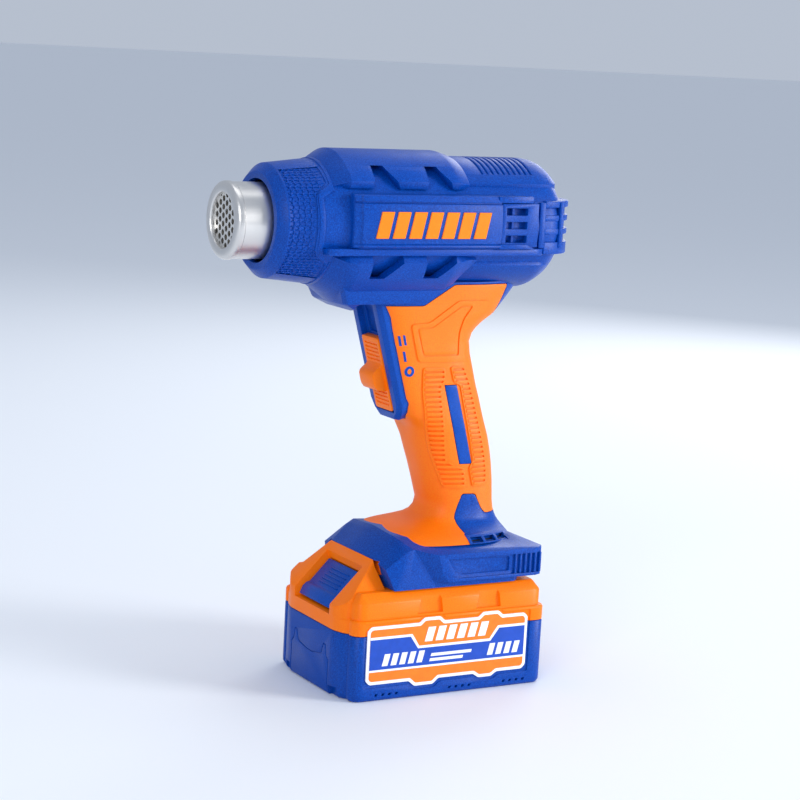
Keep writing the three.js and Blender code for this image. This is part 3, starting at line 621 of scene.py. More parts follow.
def makeLowerShell(size):
    edge, full, belly, bevel = barrelZ - size["channelBottom"], size["shell"], size["belly"], size["edge"]
    rear = size["shellRear"]
    rows = [(-53.4, 27.6, 27.6, 0.4), (-53, 28.6, 28.6, 0.6), (-46, 33.1, 33, 3.2),
            (size["shellFront"], full, full, bevel), (-41.4, full, 36.6, bevel), (-40.4, full, belly, bevel),
            (rear - 1.5, full, belly, bevel), (rear, 33.22, 36.6, bevel), (13, 32.45, 34.6, 2.8),
            (size["stepRear"], 31.4, 31.6, 2), (21, 30.9, 30.9, 2), (22, 30.2, 30.2, 2)]
    rings = [shellSection(x, s, b, edge, c, size["wall"], False) for x, s, b, c in rows]
    shell = loft("lowerShell", rings)
    slant = [(22.6, 208), (21.4, 203), (13.6, 192), (8, 181), (8, 178), (30, 178), (30, 208)]
    cut(shell, acrossY("slant", slant, -40, 40))
    return cutPockets(shell, False)


def pocketTool(x, side, top):
    # walls lean out towards the surface; the slanting wall leans most
    if top:
        floorLine = [(0, 230), (0, 245.4), (6.4, 245.4), (15, 230)]
        rimLine = [(-1.1, 230), (-1.1, 245.7), (8.6, 245.7), (17.4, 230)]
    else:
        floorLine = [(0, 211), (0, 195.2), (6.6, 195.2), (13.4, 203.4), (14.2, 211)]
        rimLine = [(-1.1, 211), (-1.1, 194.3), (7.6, 194.3), (15, 202.4), (16.4, 211)]
    rings = []
    for line, y in ((floorLine, 6), (floorLine, 22), (rimLine, 30), (rimLine, 44)):
        rings.append([(x + along, side * y, z) for along, z in line])
    return loft("pocket", rings)


def makeRearShell(size):
    # upper half, ending in a flat chamfer all round its back
    edge = size["channelTop"] - barrelZ
    r = size["rear"]
    drops = ((8, 0), (size["dome"] - 3.5, 0), (size["dome"] - 1, 0.06), (61.5, 0.6), (64.5, 1.75), (66.6, 3.1),
             (68.4, 4.6), (68.8, 5.1), (73.4, 12), (73.8, 12.6))
    curve = [(x, r - drop) for x, drop in drops] + [(75, edge + 1.2)]
    rings = []
    for x, radius in curve:
        chamfer = min(size["edge"], max(0.1, radius - edge - 0.8))
        rings.append(shellSection(x, radius, radius, edge, chamfer * 0.9, 3.4 if radius > 24 else 2, True))
    shell = loft("rearShell", rings)
    first, pitch = 25.7, 2.98
    for i in range(10):
        x = first + i * pitch
        section = [(x, r - 0.9), (x - 0.35, r + 1), (x + 1.35, r + 1), (x + 1, r - 0.9)]
        groove = turned("groove", section, 96, closed=True)
        cut(groove, box("topOnly", x - 3, x + 4, -19.5, 19.5, barrelZ + 8, barrelZ + 40), kind="INTERSECT")
        cut(shell, groove)
    return soften(shell, 0.22, 2, 24)


def makeRearBelly(size):
    edge = barrelZ - 203.2
    r = size["rear"]
    curve = [(8, r), (size["dome"] - 3.5, r)] + domeCurve(r, size["dome"] - 3, size["domeLength"] + 1.6, 12, 60)
    rings = [shellSection(x, radius, radius, edge, min(2.6, max(0.1, radius - edge - 0.8)), 2.4, False)
             for x, radius in curve]
    return soften(loft("rearBelly", rings), 0.28, 2, 38)


def makeSkirt():
    # the neck's top: near-vertical cheeks under the lower shell
    rings = []
    for z, front, rear, half in ((190.5, -45.2, 20, 19.4), (188, -43.9, 17, 19.3), (187.5, -43.6, 16, 19.3),
                                 (182.2, -41.4, 6, 18.1), (181.5, -40.8, 5, 17.2), (178, -34, 4, 14)):
        outline = evenly([(front, -half + 3), (front + 1.2, -half), (rear, -half)])
        rings.append([(x, y, z) for x, y in outline])
    skirt = loft("neckSkirt", rings)
    # it stops short of the overmould, along a narrow rim
    clear = rounded(grown(gripOutline, 1.25), 2)
    cut(skirt, acrossY("clear", clear, -60, 60))
    return soften(skirt, 0.3, 2, 20)


def placeHousing(*pieces):
    # more of the blue moulding that the collar stands in for
    for piece in pieces:
        place(piece, "tool", blueNylon, "blue_housing")


place(makeCollar(barrel), "tool", blueNylon, "blue_housing", "housing_left", "housing_right")
placeHousing(makeTread(), makeCore(barrel), makeUpperShell(barrel), makeLowerShell(barrel), makeRearShell(barrel),
             makeRearBelly(barrel), makeSkirt())
print("barrel done")


# ---- side rails, intake grilles, rear band, emblem ----
rail = {"front": -46, "panelEnd": 30, "grilleFace": 32.35, "grilleRear": 50.5, "bandRear": 78.5, "bandHalf": 29.6,
        "bandCorner": 22}
slotRows = ((211.9, 215.2), (218.2, 221.5), (224.5, 227.8))


def railSection(x, out):
    # outer face of the rail from its top shelf down to its flange
    profile = [(27.6, 233.6), (31.9, 233.2), (32.5, 232.8), (33.4, 230.6), (33.2, 230.2), (32.3, 230.1),
               (32.3, 229.6), (33, 229.3)]
    for i in range(9):
        z = 229 - i * 2.2
        profile.append((33.15 + 0.5 * (1 - ((z - 220.2) / 8.8) ** 2), z))
    profile += [(33, 211.3), (33.85, 210.6), (33.95, 210), (33.3, 209.5), (31.4, 208.9), (27.6, 208.7)]
    return [(x, -(y + out if y > 28 else y), z) for y, z in profile]


def makeRail(size):
    front, end = size["front"], size["panelEnd"]
    stations = ((front - 0.4, -2.6), (front, -1.9), (front + 2.6, -0.9), (front + 3.3, -0.15), (front + 3.9, 0),
                (end - 1, 0), (end, -0.15), (end + 0.9, -1.3), (end + 1, -3))
    return smooth(loft("sideRail", [railSection(x, out) for x, out in stations]), 24)


def makeGrille(size):
    # a flat face with three slots, between a strip above and a bead below
    end, y = size["panelEnd"], -size["grilleFace"]
    face = box("frontGrille", end + 0.6, size["grilleRear"], y, y + 5.2, 209.9, 229.9)
    for z0, z1 in slotRows:
        cut(face, box("slot", 33, 44.4, y - 3, y + 9, z0, z1))
    soften(face, 0.3, 2, 30)
    strip = acrossY("strip", [(end - 2, 230.2), (end - 2, 233.3), (46.8, 233.3), (46.8, 230.2)], -33.35, -28)
    bead = acrossY("bead", [(end - 1, 209), (end - 1, 211.3), (43.5, 211.3), (48.5, 209)], -33.8, -28)
    louvres = [soften(strip, 0.5, 2, 30), soften(bead, 0.5, 2, 30)]
    for z0, z1 in slotRows:
        # short upright vanes behind each slot
        louvres.append(box("vane", 37, 38.2, -30.6, -27.4, z0 - 0.5, z1 + 0.5))
        louvres.append(box("inner", 34.5, 43, -28.6, -27.6, z0 + 0.9, z1 - 0.4))
    return join(face, *louvres)


def bandOutline(grow, start, corners=10):
    # seen from above: straight flanks, round rear corners, flat rear
    half, corner, rear = rail["bandHalf"] + grow, rail["bandCorner"] + grow, rail["bandRear"] + grow
    points = [(start, -half)]
    for i in range(corners + 1):
        angle = -math.pi / 2 + (math.pi / 2) * i / corners
        points.append((rear - corner + corner * math.cos(angle), -(half - corner) + corner * math.sin(angle)))
    return evenly(points)


def openBand(name, grow, start, z0, z1):
    # one tier of the band, hollow
    tier = upZ(name, bandOutline(grow, start), z0, z1)
    # the lowest tier keeps a floor and the top one a roof
    low, high = (207.6 if z0 < 207 else z0 - 1), (229.4 if z1 > 230 else z1 + 1)
    cut(tier, upZ("hollow", bandOutline(-3.2, start - 10), low, high))
    return tier


def makeRearBand():
    # wraps round the back; ribs between the slots stand proud of it
    ring = openBand("rearBand", -1.4, 45.5, 206.4, 230.6)
    for z0, z1 in slotRows:
        cut(ring, box("slot", 56.4, 65.5, -60, 60, z0, z1))
        for y in (-8.5, 8.5):
            cut(ring, box("slot", 66, 95, y - 5.5, y + 5.5, z0, z1))
    soften(ring, 0.25, 2, 30)
    ribs = [soften(openBand("rib", 0, 55.9, z0, z1), 0.4, 2, 40)
            for z0, z1 in ((227.9, 231), (221.6, 224.4), (215.3, 218.1), (206.1, 211.8))]
    # an upright lip round each side window
    for side in (-1, 1):
        for x0, x1 in ((53, 56.2), (65, 67)):
            near, far = (28, 29.75) if x0 < 60 else (24, 28.4)
            lip = box("lip", x0, x1, *between(side, near, far), 209, 230.4)
            ribs.append(soften(lip, 0.5, 2, 40))
    return join(ring, *ribs)


def makeFlange():
    # the thin shelf under the rail, from the collar to the rear
    outline = [(-58.2, -28.4), (-57.6, -30.4), (-54, -31.2), (50.5, -31.5), (54.5, -30.4), (58, -27), (58, -25.4),
               (-58.2, -25.4)]
    return soften(upZ("railShelf", outline, 205.7, 208.9), 0.45, 2, 30)


def slantBars(name, first, pitch, count, low, high, width, lean, near, far):
    # a row of slanting bars, in place of lettering
    bars = []
    for i in range(count):
        x = first + i * pitch
        outline = [(x, low), (x + width, low), (x + width + lean, high), (x + lean, high)]
        bars.append(acrossY(name, outline, near, far))
    return bars


def makeEmblem():
    return soften(join(*slantBars("emblemBars", -36.2, 8.5, 7, 213.8, 225.8, 6.5, 2.6, -34.1, -33.2)), 0.2, 1, 30)


placeHousing(bothSides(makeRail(rail)), bothSides(makeGrille(rail)), makeRearBand(), bothSides(makeFlange()))
place(bothSides(makeEmblem()), "tool", orangeInk, "orange_emblem", "emblem_left", "emblem_right")
print("rails done")


# ---- handle: blue core, orange overmould with its ribs, badge and marks ----
handle = {
    # height, front, rear and half width of the outside
    "stations": [
        (69.4, -15.6, 58, 31), (71, -14.6, 57, 29), (72.6, -13, 55.9, 26), (73.9, -9, 54.9, 23.4),
        (75.2, -1.5, 54, 20.8), (76.8, 6.6, 53, 18.6), (78.8, 11.2, 52, 17.3), (81.6, 13.8, 51, 16.6),
        (85.4, 14.5, 50.4, 16.3), (96, 11.2, 49.8, 16.2), (103, 8.9, 48.9, 16.4), (110, 6.4, 47.6, 16.6),
        (117, 4, 45.8, 16.8), (123, 1.6, 43.6, 17), (129, -4.6, 41.8, 17), (135, -6.9, 40, 17), (142, -8.9, 37.6, 17),
        (150, -11.2, 35.4, 17), (157, -13.1, 33.4, 17),
        (163, -14.9, 32.6, 17), (167, -16, 34, 17.1), (170, -16.9, 36.6, 17.2), (173, -17.7, 40.6, 17.3),
        (176, -18.6, 45.5, 17.4), (183, -22.6, 51.8, 17.7), (190, -27, 57.5, 18), (206, -30, 60, 18.5)],
    "round": 0.77, "squareRound": 0.36, "squareFrom": 116, "squareOver": 22, "count": 120, "depth": 2.2,
    "low": 69.4, "high": 192}


def stationAt(z):
    rows = handle["stations"]
    for a, b in zip(rows, rows[1:]):
        if z <= b[0]:
            t = max(0, (z - a[0]) / (b[0] - a[0]))
            return [p + (q - p) * t for p, q in zip(a, b)]
    return rows[-1]


def bulge(reach, swing, power):
    return reach * math.copysign(abs(swing) ** power, swing)


def handleRing(z, inset, count):
    z, front, rear, half = stationAt(z)
    centre, reach = (front + rear) / 2, (rear - front) / 2 - inset
    ring = []
    # the front is squarer where the switch is
    square = min(1, max(0, (z - handle["squareFrom"]) / handle["squareOver"]))
    for i in range(count):
        angle = 2 * math.pi * i / count
        c, s = math.cos(angle), math.sin(angle)
        power = handle["round"] - (handle["round"] - handle["squareRound"]) * square * (c < 0)
        ring.append((centre + bulge(reach, c, power), bulge(half - inset, s, power), z))
    return ring


def handleSkin(name, inset, heights, count=None):
    return loft(name, [handleRing(z, inset, count or handle["count"]) for z in heights])


def heightsBetween(low, high, step):
    rows = [z for z, *_ in handle["stations"] if low < z < high]
    z = low
    while z < high:
        rows.append(z)
        z += step
    rows.append(high)
    rows.sort()
    return [z for i, z in enumerate(rows) if i == 0 or z - rows[i - 1] > 0.6]


# what the grip carries on each side, seen from the side
ribZones = (
    [(2.2, 151.4), (13.1, 150.9), (13.6, 145.6), (12, 143.9), (11.6, 141), (17.6, 106.5), (23.7, 103.5),
     (27.2, 102.5), (28.5, 93.6), (17.9, 94.4), (10.6, 110.5), (5.2, 127.2), (2.6, 140)],
    [(17.2, 151.5), (24.6, 151.5), (28.8, 142.9), (33, 130), (39, 109.2), (40.6, 100), (40.3, 94.6),
     (33.2, 94.4), (30.7, 102.9), (32.6, 106.5), (23, 143.6), (19.2, 145.1)])
badgeOutline = [(14.1, 143.2), (20.4, 143.2), (31.3, 105.2), (25, 105.2)]
panelOuter = [(-6.1, 172.5), (3.6, 172.9), (18.8, 183.3), (37.2, 183), (33.9, 177), (29.6, 172.6), (26.6, 167),
              (25.6, 160), (25.4, 154.2), (-1.1, 154.7)]
panelInner = [(-2.9, 170.8), (5, 171.1), (20, 181), (26.8, 180.7), (22.4, 174.6), (20.8, 168.6), (21, 157.3),
              (1.3, 157.3)]


def makeHandleCore():
    core = handleSkin("handleCore", handle["depth"] + 0.1, heightsBetween(70.5, 200, 6), 72)
    return smooth(core, 50)


def ventHoles(bottom):
    starts = [(side, 26 + i * 7.9) for side in (-1, 1) for i in range(3)]
    return join(*[box("vent", x, x + 6.3, *between(side, 19, 34), bottom, 71.9) for side, x in starts])


def makeHollowSkin(name, inset, step):
    skin = handleSkin(name, 0, heightsBetween(handle["low"], handle["high"], step))
    return cut(skin, handleSkin("inner", inset, heightsBetween(60, 206, 6), 72))


def makeBlueSkin():
    # where the housing comes through the overmould: the neck, the rear web and the peak over the foot
    skin = makeHollowSkin("handleHousing", 2.6, 2.5)
    cut(skin, acrossY("window", rounded(grown(gripOutline, 0.35), 1.4), -60, 60))
    cut(skin, ventHoles(69.9))
    cleanUp(skin, 0.15)
    return soften(skin, 0.3, 2, 42)


def makeGrip():
    grip = makeHollowSkin("gripOvermould", handle["depth"], 2)
    cut(grip, acrossY("outline", rounded(gripOutline, 1.2), -60, 60), kind="INTERSECT")
    cut(grip, acrossY("badgeWell", grown(badgeOutline, 0.3), -60, 60))
    cut(grip, trackOutline("bezelSpace", 0.35, -0.6, 7.4))
    cleanUp(grip, 0.12)
    return soften(grip, 0.45, 3, 42)


def sidePatch(name, outline, depth, proud):
    # a plate that follows the handle's side: its outline seen from the side, a flat-topped relief
    zs = [z for _, z in outline]
    heights = heightsBetween(min(zs) - 4, max(zs) + 4, 2)
    plate = acrossY(name, outline, -24, -10)
    cut(plate, handleSkin("outerSkin", -proud, heights), kind="INTERSECT")
    return cut(plate, handleSkin("innerSkin", depth, heights, 72))


def makeRibZones():
    # a raised rim and a comb of level ribs inside it
    pieces, gap, pitch = [], 1, 2.36
    for zone in ribZones:
        rim = sidePatch("gripRibs", rounded(grown(zone, 0.6), 1.4, 3), 0.6, 0.6)
        cut(rim, acrossY("inside", rounded(grown(zone, -0.35), 1, 3), -40, 0))
        pieces.append(soften(rim, 0.28, 2, 40))
        z = min(p[1] for p in zone) + 1.5
        top = max(p[1] for p in zone)
        bars = sidePatch("bars", rounded(grown(zone, -0.2), 1, 3), 0.6, 0.85)
        gaps = []
        while z < top:
            gaps.append(box("gap", -10, 60, -40, 0, z, z + gap))
            z += pitch
        cut(bars, join(*gaps))
        pieces.append(soften(bars, 0.3, 2, 40))
    return join(*pieces)


def makeSidePanel():
    # a raised frame with a level field in it, on the handle's upper side
    frameRing = sidePatch("gripPanel", rounded(panelOuter, 2), 0.6, 0.55)
    cut(frameRing, acrossY("inside", rounded(panelInner, 1.2), -40, 0))
    soften(frameRing, 0.4, 3, 40)
    field = sidePatch("field", rounded(grown(panelInner, -0.7), 1), 0.6, 0.3)
    return join(frameRing, soften(field, 0.22, 2, 40))


def makeBadge():
    badge = sidePatch("gripBadge", rounded(badgeOutline, 0.6, 2), 1.3, 0.25)
    return soften(badge, 0.25, 2, 40)


def oval(wide, tall, count, middle=(-5.2, 150.3)):
    turns = [2 * math.pi * i / count for i in range(count)]
    return [(middle[0] + wide * math.cos(a), middle[1] + tall * math.sin(a)) for a in turns]


def makeMarks():
    # position marks beside the switch: II, I and O
    slant, stroke, depth, proud = 1.2, 1.1, 0.3, 0.12
    pieces = []
    for x0, z0, z1 in ((-12.1, 162.3, 167), (-9.8, 162.7, 167.4), (-9.2, 154.9, 159.7)):
        bar = [(x0 + slant, z0), (x0 + slant + stroke, z0), (x0 + stroke, z1), (x0, z1)]
        pieces.append(sidePatch("gripMarks", bar, depth, proud))
    circle = sidePatch("ring", oval(2.3, 2.5, 32), depth, proud)
    cut(circle, acrossY("hole", oval(1, 1.3, 24), -40, 0))
    return smooth(join(*pieces, circle), 40)


# ---- switch: bezel and slider, drawn upright and then leant onto the handle's front ----
switch = {"x": -7, "z": 127, "tilt": 16, "half": 8.3, "bottom": 2.5, "top": 55.5, "slider": 36,
          "bezelHalf": 14.3, "bezelLow": -1.6, "bezelHigh": 57.5}


def onTrack(piece):
    # from the upright track to the handle's leaning front
    lean = Matrix.Rotation(math.radians(-switch["tilt"]), 4, "Y")
    foot = Matrix.Translation(at(switch["x"], 0, switch["z"]))
    piece.data.transform(foot @ lean @ Matrix.Translation(-at(0, 0, 0)))
    return piece


def bezelPlan(half, low, high, lift=0):
    # upright, with a point at its lower end
    return fromLeft([(-half, high), (-half, 6.5 + lift), (-half + 2, 2 + lift), (-half + 6, low)])


def trackOutline(name, growth, x0, x1):
    plan = bezelPlan(switch["bezelHalf"] + growth, switch["bezelLow"] - growth, switch["bezelHigh"] + growth)
    return onTrack(alongX(name, plan, x0, x1))


def makeBezel():
    # a frame with sloping flanks round a sunk window
    rings = []
    for x, inset, lift in ((7.6, 0, 0), (1.9, 0, 0), (0, 2.1, 0.8)):
        half, high = switch["bezelHalf"] - inset, switch["bezelHigh"] - inset * 0.2
        plan = bezelPlan(half, switch["bezelLow"] + lift, high, lift)
        rings.append([(x, y, z) for y, z in plan])
    frameBody = loft("switchBezel", rings)
    cut(frameBody, box("window", -2, 3.3, -switch["half"], switch["half"], switch["bottom"], switch["top"]))
    cut(frameBody, box("well", 2, 4.6, -5.6, 5.6, 40.5, 53.6))
    cut(frameBody, box("slot", 2, 8, -2.6, 2.6, 15.6, 36.2))
    return onTrack(soften(frameBody, 0.5, 3, 25))


def makeSlider():
    low, half = switch["bottom"] + 0.8, switch["half"] - 0.4
    high = low + switch["slider"]
    plate = alongX("switchSlider", rounded([(-half, low), (half, low), (half, high), (-half, high)], 1.6), -0.5, 2.9)
    grooves = []
    for i in range(5):
        for start in (low + 2.6 + i * 1.95, low + 24.6 + i * 1.95):
            grooves.append(box("groove", -1.5, 0.15, -half + 1.8, half - 1.8, start, start + 0.85))
    cut(plate, join(*grooves))
    soften(plate, 0.3, 2, 35)
    # a thumb ledge, hollow on top
    profile = [(0.4, 27.8), (-0.6, 26.6), (-2.2, 25.4), (-4.2, 24.6), (-5.6, 23.8), (-6.3, 22.4), (-6.4, 19),
               (-6.2, 17), (-5.4, 15.2), (-2.6, 13.8), (0.4, 13)]
    ledge = soften(acrossY("ledge", profile, -6.9, 6.9), 0.9, 3, 40)
    stem = box("stem", 2, 9.4, -1.9, 1.9, 16.2, 20.2)
    return onTrack(join(plate, ledge, smooth(stem)))


placeHousing(makeHandleCore(), makeBlueSkin())
place(makeGrip(), "tool", orangeTpe, "orange_grip", "grip_left", "grip_right")
place(bothSides(makeRibZones()), "tool", orangeTpe, "orange_grip")
place(bothSides(makeSidePanel()), "tool", orangeTpe, "orange_grip")
place(bothSides(makeBadge()), "tool", blueAbs, "blue_badge", "badge_left", "badge_right")
place(bothSides(makeMarks()), "tool", blueAbs, "blue_badge")
place(makeBezel(), "tool", blueAbs, "blue_bezel", "switch_bezel")
place(makeSlider(), "switch", orangeAbs, "orange_slider", "switch_slider")
print("handle done")


# ---- foot: the housing's shoe over the battery ----
foot = {"half": 37.2, "rear": 63, "hoodLow": 50.8, "roof": 71.2}


def makeHood(low):
    # the shoe's front: a slope with a facet at each corner, and leaning flanks
    rings = []
    for half in ([(-17.2, 34.4, low), (-20.3, 30.6, 60.2), (-21.8, 20, 63.1), (-22.1, 0, 63.3)],
                 [(-14.6, 34.5, low), (-9.4, 30.7, 67.8), (-13.7, 20.2, 71.3), (-14.6, 0, 72.6)],
                 [(-10, 34.5, low), (-6, 30.6, 68.7), (-10.6, 20.6, 72.9), (-11.2, 0, 74.3)],
                 [(8, 34.5, low), (8, 30.6, 68.7), (8, 20.6, 71.9), (8, 0, 74)]):
        rings.append([(x, -y, z) for x, y, z in half] + half[-2::-1])
    return loft("shoeHood", rings)


def makeShoe(size):
    half, rear, roof = size["half"], size["rear"], size["roof"]
    corner = evenly([(-6, -half), (rear - 5, -half), (rear - 1.5, -half + 1.5), (rear, -half + 5)])
    flange = upZ("shoe", corner, 53.6, 66.8)
    # upper faces fall from the handle to the flange's edge, and to its rear
    roofSide = alongX("roofSide", fromLeft([(-40, 50), (-40, 65.2), (-37, 66.9), (-22, roof)]), -30, 70)
    top = upZ("top", corner, 66.6, roof + 0.1)
    roofRear = [(-30, 60), (-30, roof), (52.5, roof), (63.2, 67), (63.2, 60)]
    cut(top, acrossY("roofRear", roofRear, -50, 50), kind="INTERSECT")
    cut(flange, top, kind="UNION")
    cut(flange, roofSide, kind="INTERSECT")
    skirt = evenly([(-15, -34.5), (48, -34.5), (51, -32)])
    cut(flange, upZ("skirt", skirt, size["hoodLow"], 54.6), kind="UNION")
    for side in (-1, 1):
        # a long bevel leads from the hood's flank out to the flange's
        near = [(-30, 34.9, 49), (6.4, 34.9, 49), (-6.4, 30.1, 70.4), (-30, 30.1, 70.4)]
        far = [(-30, 40, 49), (22.4, 40, 49), (6.6, 40, 70.4), (-30, 40, 70.4)]
        cut(flange, sideLoft("step", side, near, far))
        # a sunk panel with a deeper well in it
        panel = [(9.2, 64.6), (15.2, 55), (61.8, 55), (61.8, 64.6)]
        cut(flange, acrossY("panel", rounded(panel, 0.8, 2), *between(side, 36, 45)))
        inner = [(13.2, 63.6), (17, 56.6), (43.6, 56.6), (43.6, 63.6)]
        cut(flange, acrossY("well", rounded(inner, 0.6, 2), *between(side, 35, 45)))
    cut(flange, makeHood(size["hoodLow"]), kind="UNION")
    # the channel that the battery's rails slide in
    cut(flange, alongX("channel", fromLeft([(-21.4, 30), (-21.4, 55.6), (-24.4, 55.6), (-24.4, 62.8)]), -60, 60.8))
    cut(flange, handleSkin("throat", 4, [60, 64, 67, 70, 74, 80], 60))
    cut(flange, ventHoles(69.6))
    cleanUp(flange, 0.05)
    soften(flange, 0.55, 3, 28)
    # upright ribs at the panel's rear end
    ribs = []
    for side in (-1, 1):
        for i in range(6):
            x = 46.2 + i * 2.75
            rib = box("rib", x, x + 1.1, *between(side, 35.5, 37.1), 55, 64.7)
            ribs.append(soften(rib, 0.3, 2, 30))
    return join(flange, *ribs)


ventHeights = (69.4, 70.2, 71, 71.8, 72.6)


def makeVentFrame():
    # a raised rim round the three vents, on the housing's flare
    rim = acrossY("ventFrame", rounded([(24.3, 69), (52.2, 69), (50.4, 73.2), (24.3, 73.2)], 0.5, 2), -40, -18)
    cut(rim, handleSkin("outer", -0.45, [66, *ventHeights, 73.4, 74.4, 76.2]), kind="INTERSECT")
    cut(rim, handleSkin("inner", 0.8, [64, *ventHeights, 73.4, 74.4, 77]))
    cut(rim, ventHoles(69.9))
    return bothSides(soften(rim, 0.2, 2, 30))


def makeVentShadeBacking():
    # painted shade: a black sheet just inside the housing wall, behind the vents, standing in for the shaded inside
    return smooth(handleSkin("ventPaintedShade", 2.8, [67, *ventHeights], 60), 40)


placeHousing(makeShoe(foot), makeVentFrame())
# the black sheet behind the vents is painted shade
place(makeVentShadeBacking(), "tool", blackNylonAndVentShade, "black_nylon")
print("foot done")


# ---- battery pack ----
pack = {"half": 37.5, "front": -42, "rear": 65.5, "corner": 5, "slopeLow": 42.8}
# seen from the side, the shallow wells that the label lies in
lowerWell = [(-33.5, 6.4), (-10, 6.4), (-7, 3.8), (5, 3.8), (8, 6.4), (25, 6.4), (28, 4.4), (37, 4.4),
             (40, 6.4), (56.6, 6.4), (56.6, 33), (-33.5, 33)]
upperWell = [(-33.5, 28), (-33.5, 37), (-5.2, 37), (-2.6, 39.3), (7, 39.3), (9.6, 37), (26.8, 37),
             (29.4, 39.3), (39.2, 39.3), (41.6, 37), (56.6, 37), (56.6, 28)]


def packPlan(grow):
    # seen from above: a narrower nose, a groove, then the full width
    half, rear, corner = pack["half"], pack["rear"], pack["corner"]
    side = [(-42, -20.5), (-41.7, -22.9), (-40.9, -25.2), (-40.2, -27.6), (-39, -29.5), (-38, -30.5),
            (-38, -31.2), (-38.8, -31.9), (-38.5, -33.9), (-37.3, -35.8), (-35.5, -37), (-33, -half)]
    for i in range(6):
        angle = (math.pi / 2) * i / 5
        side.append((rear - corner + corner * math.sin(angle), -(half - corner) - corner * math.cos(angle)))
    return grown(evenly(side), grow) if grow else evenly(side)


def raised(name, outlineAt, levels):
    # a skin over outlines seen from above, each level a height and how far its outline is grown
    return loft(name, [[(x, y, z) for x, y in outlineAt(grow)] for z, grow in levels])


def cutWell(case, outline, radius, steps):
    # a well in each flank, left and right
    for side in (-1, 1):
        cut(case, acrossY("labelWell", rounded(outline, radius, steps), *between(side, 36.9, 50)))


def makeBottomCase():
    levels = ((0, -1.2), (0.5, -0.7), (1.5, -0.1), (3, 0), (30.6, 0), (31, -0.25))
    case = raised("packBottom", packPlan, levels)
    cutWell(case, lowerWell, 1.2, 3)
    for side in (-1, 1):
        cut(case, box("notch", -44, -39.3, *between(side, 19.6, 25.6), -1, 4.6))
        # a row of small slots low on the flank
        slots = []
        for start in (-27, 12.5, 42.5):
            slots += slantBars("slot", start, 3.6, 4, 2.2, 3.4, 1.4, 0.5, *between(side, 35, 50))
        cut(case, join(*slots))
    # stepped outline embossed on the nose
    cut(case, noseLine(0.5))
    return soften(case, 0.4, 2, 35)


def noseLine(depth):
    left = [(-18.6, 0.4), (-18.6, 16), (-16.8, 17.4), (-15.6, 22.6), (-13.6, 22.8), (-11.6, 17.6), (-3, 16)]
    outline, line, front = fromLeft(left), 0.28, pack["front"]
    outer = alongX("noseLine", grown(outline, line), front - 1, front + depth)
    return cut(outer, alongX("noseInner", grown(outline, -line), front - 2, front + 2))


def makeTopCase():
    deck = raised("packTop", packPlan, ((31.3, -0.2), (31.6, 0), (37.4, 0), (38.2, -0.5), (38.4, -1.3)))
    # shoulder tier, with a chamfered upper edge
    half, front, rear = pack["half"], -38.8, pack["rear"]
    corners = rounded([(front, -half), (rear, -half), (rear, half), (front, half)], 7.5, 6)
    levels = ((36, -1.5), (45.4, -1.5), (46.2, -1.9), (49.4, -4.6), (50.2, -5.4))
    tier = raised("tier", lambda grow: grown(corners, grow), levels)
    cut(deck, tier, kind="UNION")
    profile = [(-42, 33), (-42, 42), (-41.7, 42.9), (-22.4, 62.4), (-22, 63), (-21.9, 60.4), (-18.8, 50.2),
               (-18.8, 33)]
    nose = acrossY("nose", profile, -36, 36)
    # plan and flanks of the nose
    plan = evenly([(-42, -20.5), (-41.7, -22.9), (-40.9, -25.2), (-39.9, -27.2), (-38.7, -28.9), (-36.5, -30),
                   (-34, -30.3), (-18, -30.3)])
    cut(nose, upZ("noseShape", plan, 30, 70), kind="INTERSECT")
    flanks = fromLeft([(-40, 30), (-40, 39.5), (-30.2, 46.4), (-21.2, 62.6), (-20, 63.4)])
    cut(nose, alongX("flanks", flanks, -50, -10), kind="INTERSECT")
    cut(deck, nose, kind="UNION")
    # window for the release button
    window = ((17.6, 0, 23.4, -8), (17.6, 0, 23.4, 0.2), (16.9, 1.2, 21.6, 3), (16.6, 1.5, 21.2, 9))
    cut(deck, loft("window", [windowRing(*ring) for ring in window]))
    cutWell(deck, upperWell, 1, 2)
    for side in (-1, 1):
        # steps over the label's tabs
        for x in (-6.2, 25.6):
            outer = [(x, 45, 39.4), (x + 16, 45, 39.4), (x + 14, 45, 52), (x + 2.4, 45, 52)]
            inner = [(x + 1.4, 34.6, 39.4), (x + 14.6, 34.6, 39.4), (x + 12.6, 34.6, 52), (x + 3.8, 34.6, 52)]
            cut(deck, sideLoft("notch", side, outer, inner))
    cleanUp(deck, 0.05)
    return soften(deck, 0.5, 3, 28)


def windowRing(half, low, high, depth):
    # a ring of the window's outline, at a depth below the sloping face
    sill = 37.9
    a, b = slopePoint(high, depth), slopePoint(low, depth)
    c = (pack["front"] + depth, sill + low * 0.3)
    if depth <= 0:
        # the tool starts well outside the face
        a, b, c = slopePoint(high, depth - 6), slopePoint(low - 4, depth - 8), (pack["front"] - 10, sill)
    return [(x, y, z) for (x, z), y in ((a, -half), (a, half), (b, half), (c, half), (c, -half), (b, -half))]


def slopePoint(up, depth):
    # up the sloping face, and inwards from it
    rise, run = 0.71, 0.704
    return (pack["front"] + run * up + rise * depth, pack["slopeLow"] + rise * up - run * depth)


def makeTower():
    # the rails that carry the tool
    tower = alongX("packTower", fromLeft([(-21, 45), (-21, 56), (-24, 56), (-24, 62.4)]), -18.6, 60)
    for side in (-1, 1):
        cut(tower, box("blades", 20, 70, *between(side, 10.6, 13.4), 51.6, 70))
    cut(tower, box("terminal", 23, 70, -17.9, 17.9, 55.7, 70))
    cut(tower, box("hook", -13.6, -5.4, -4.8, 4.8, 52, 70))
    return soften(tower, 0.4, 2, 30)


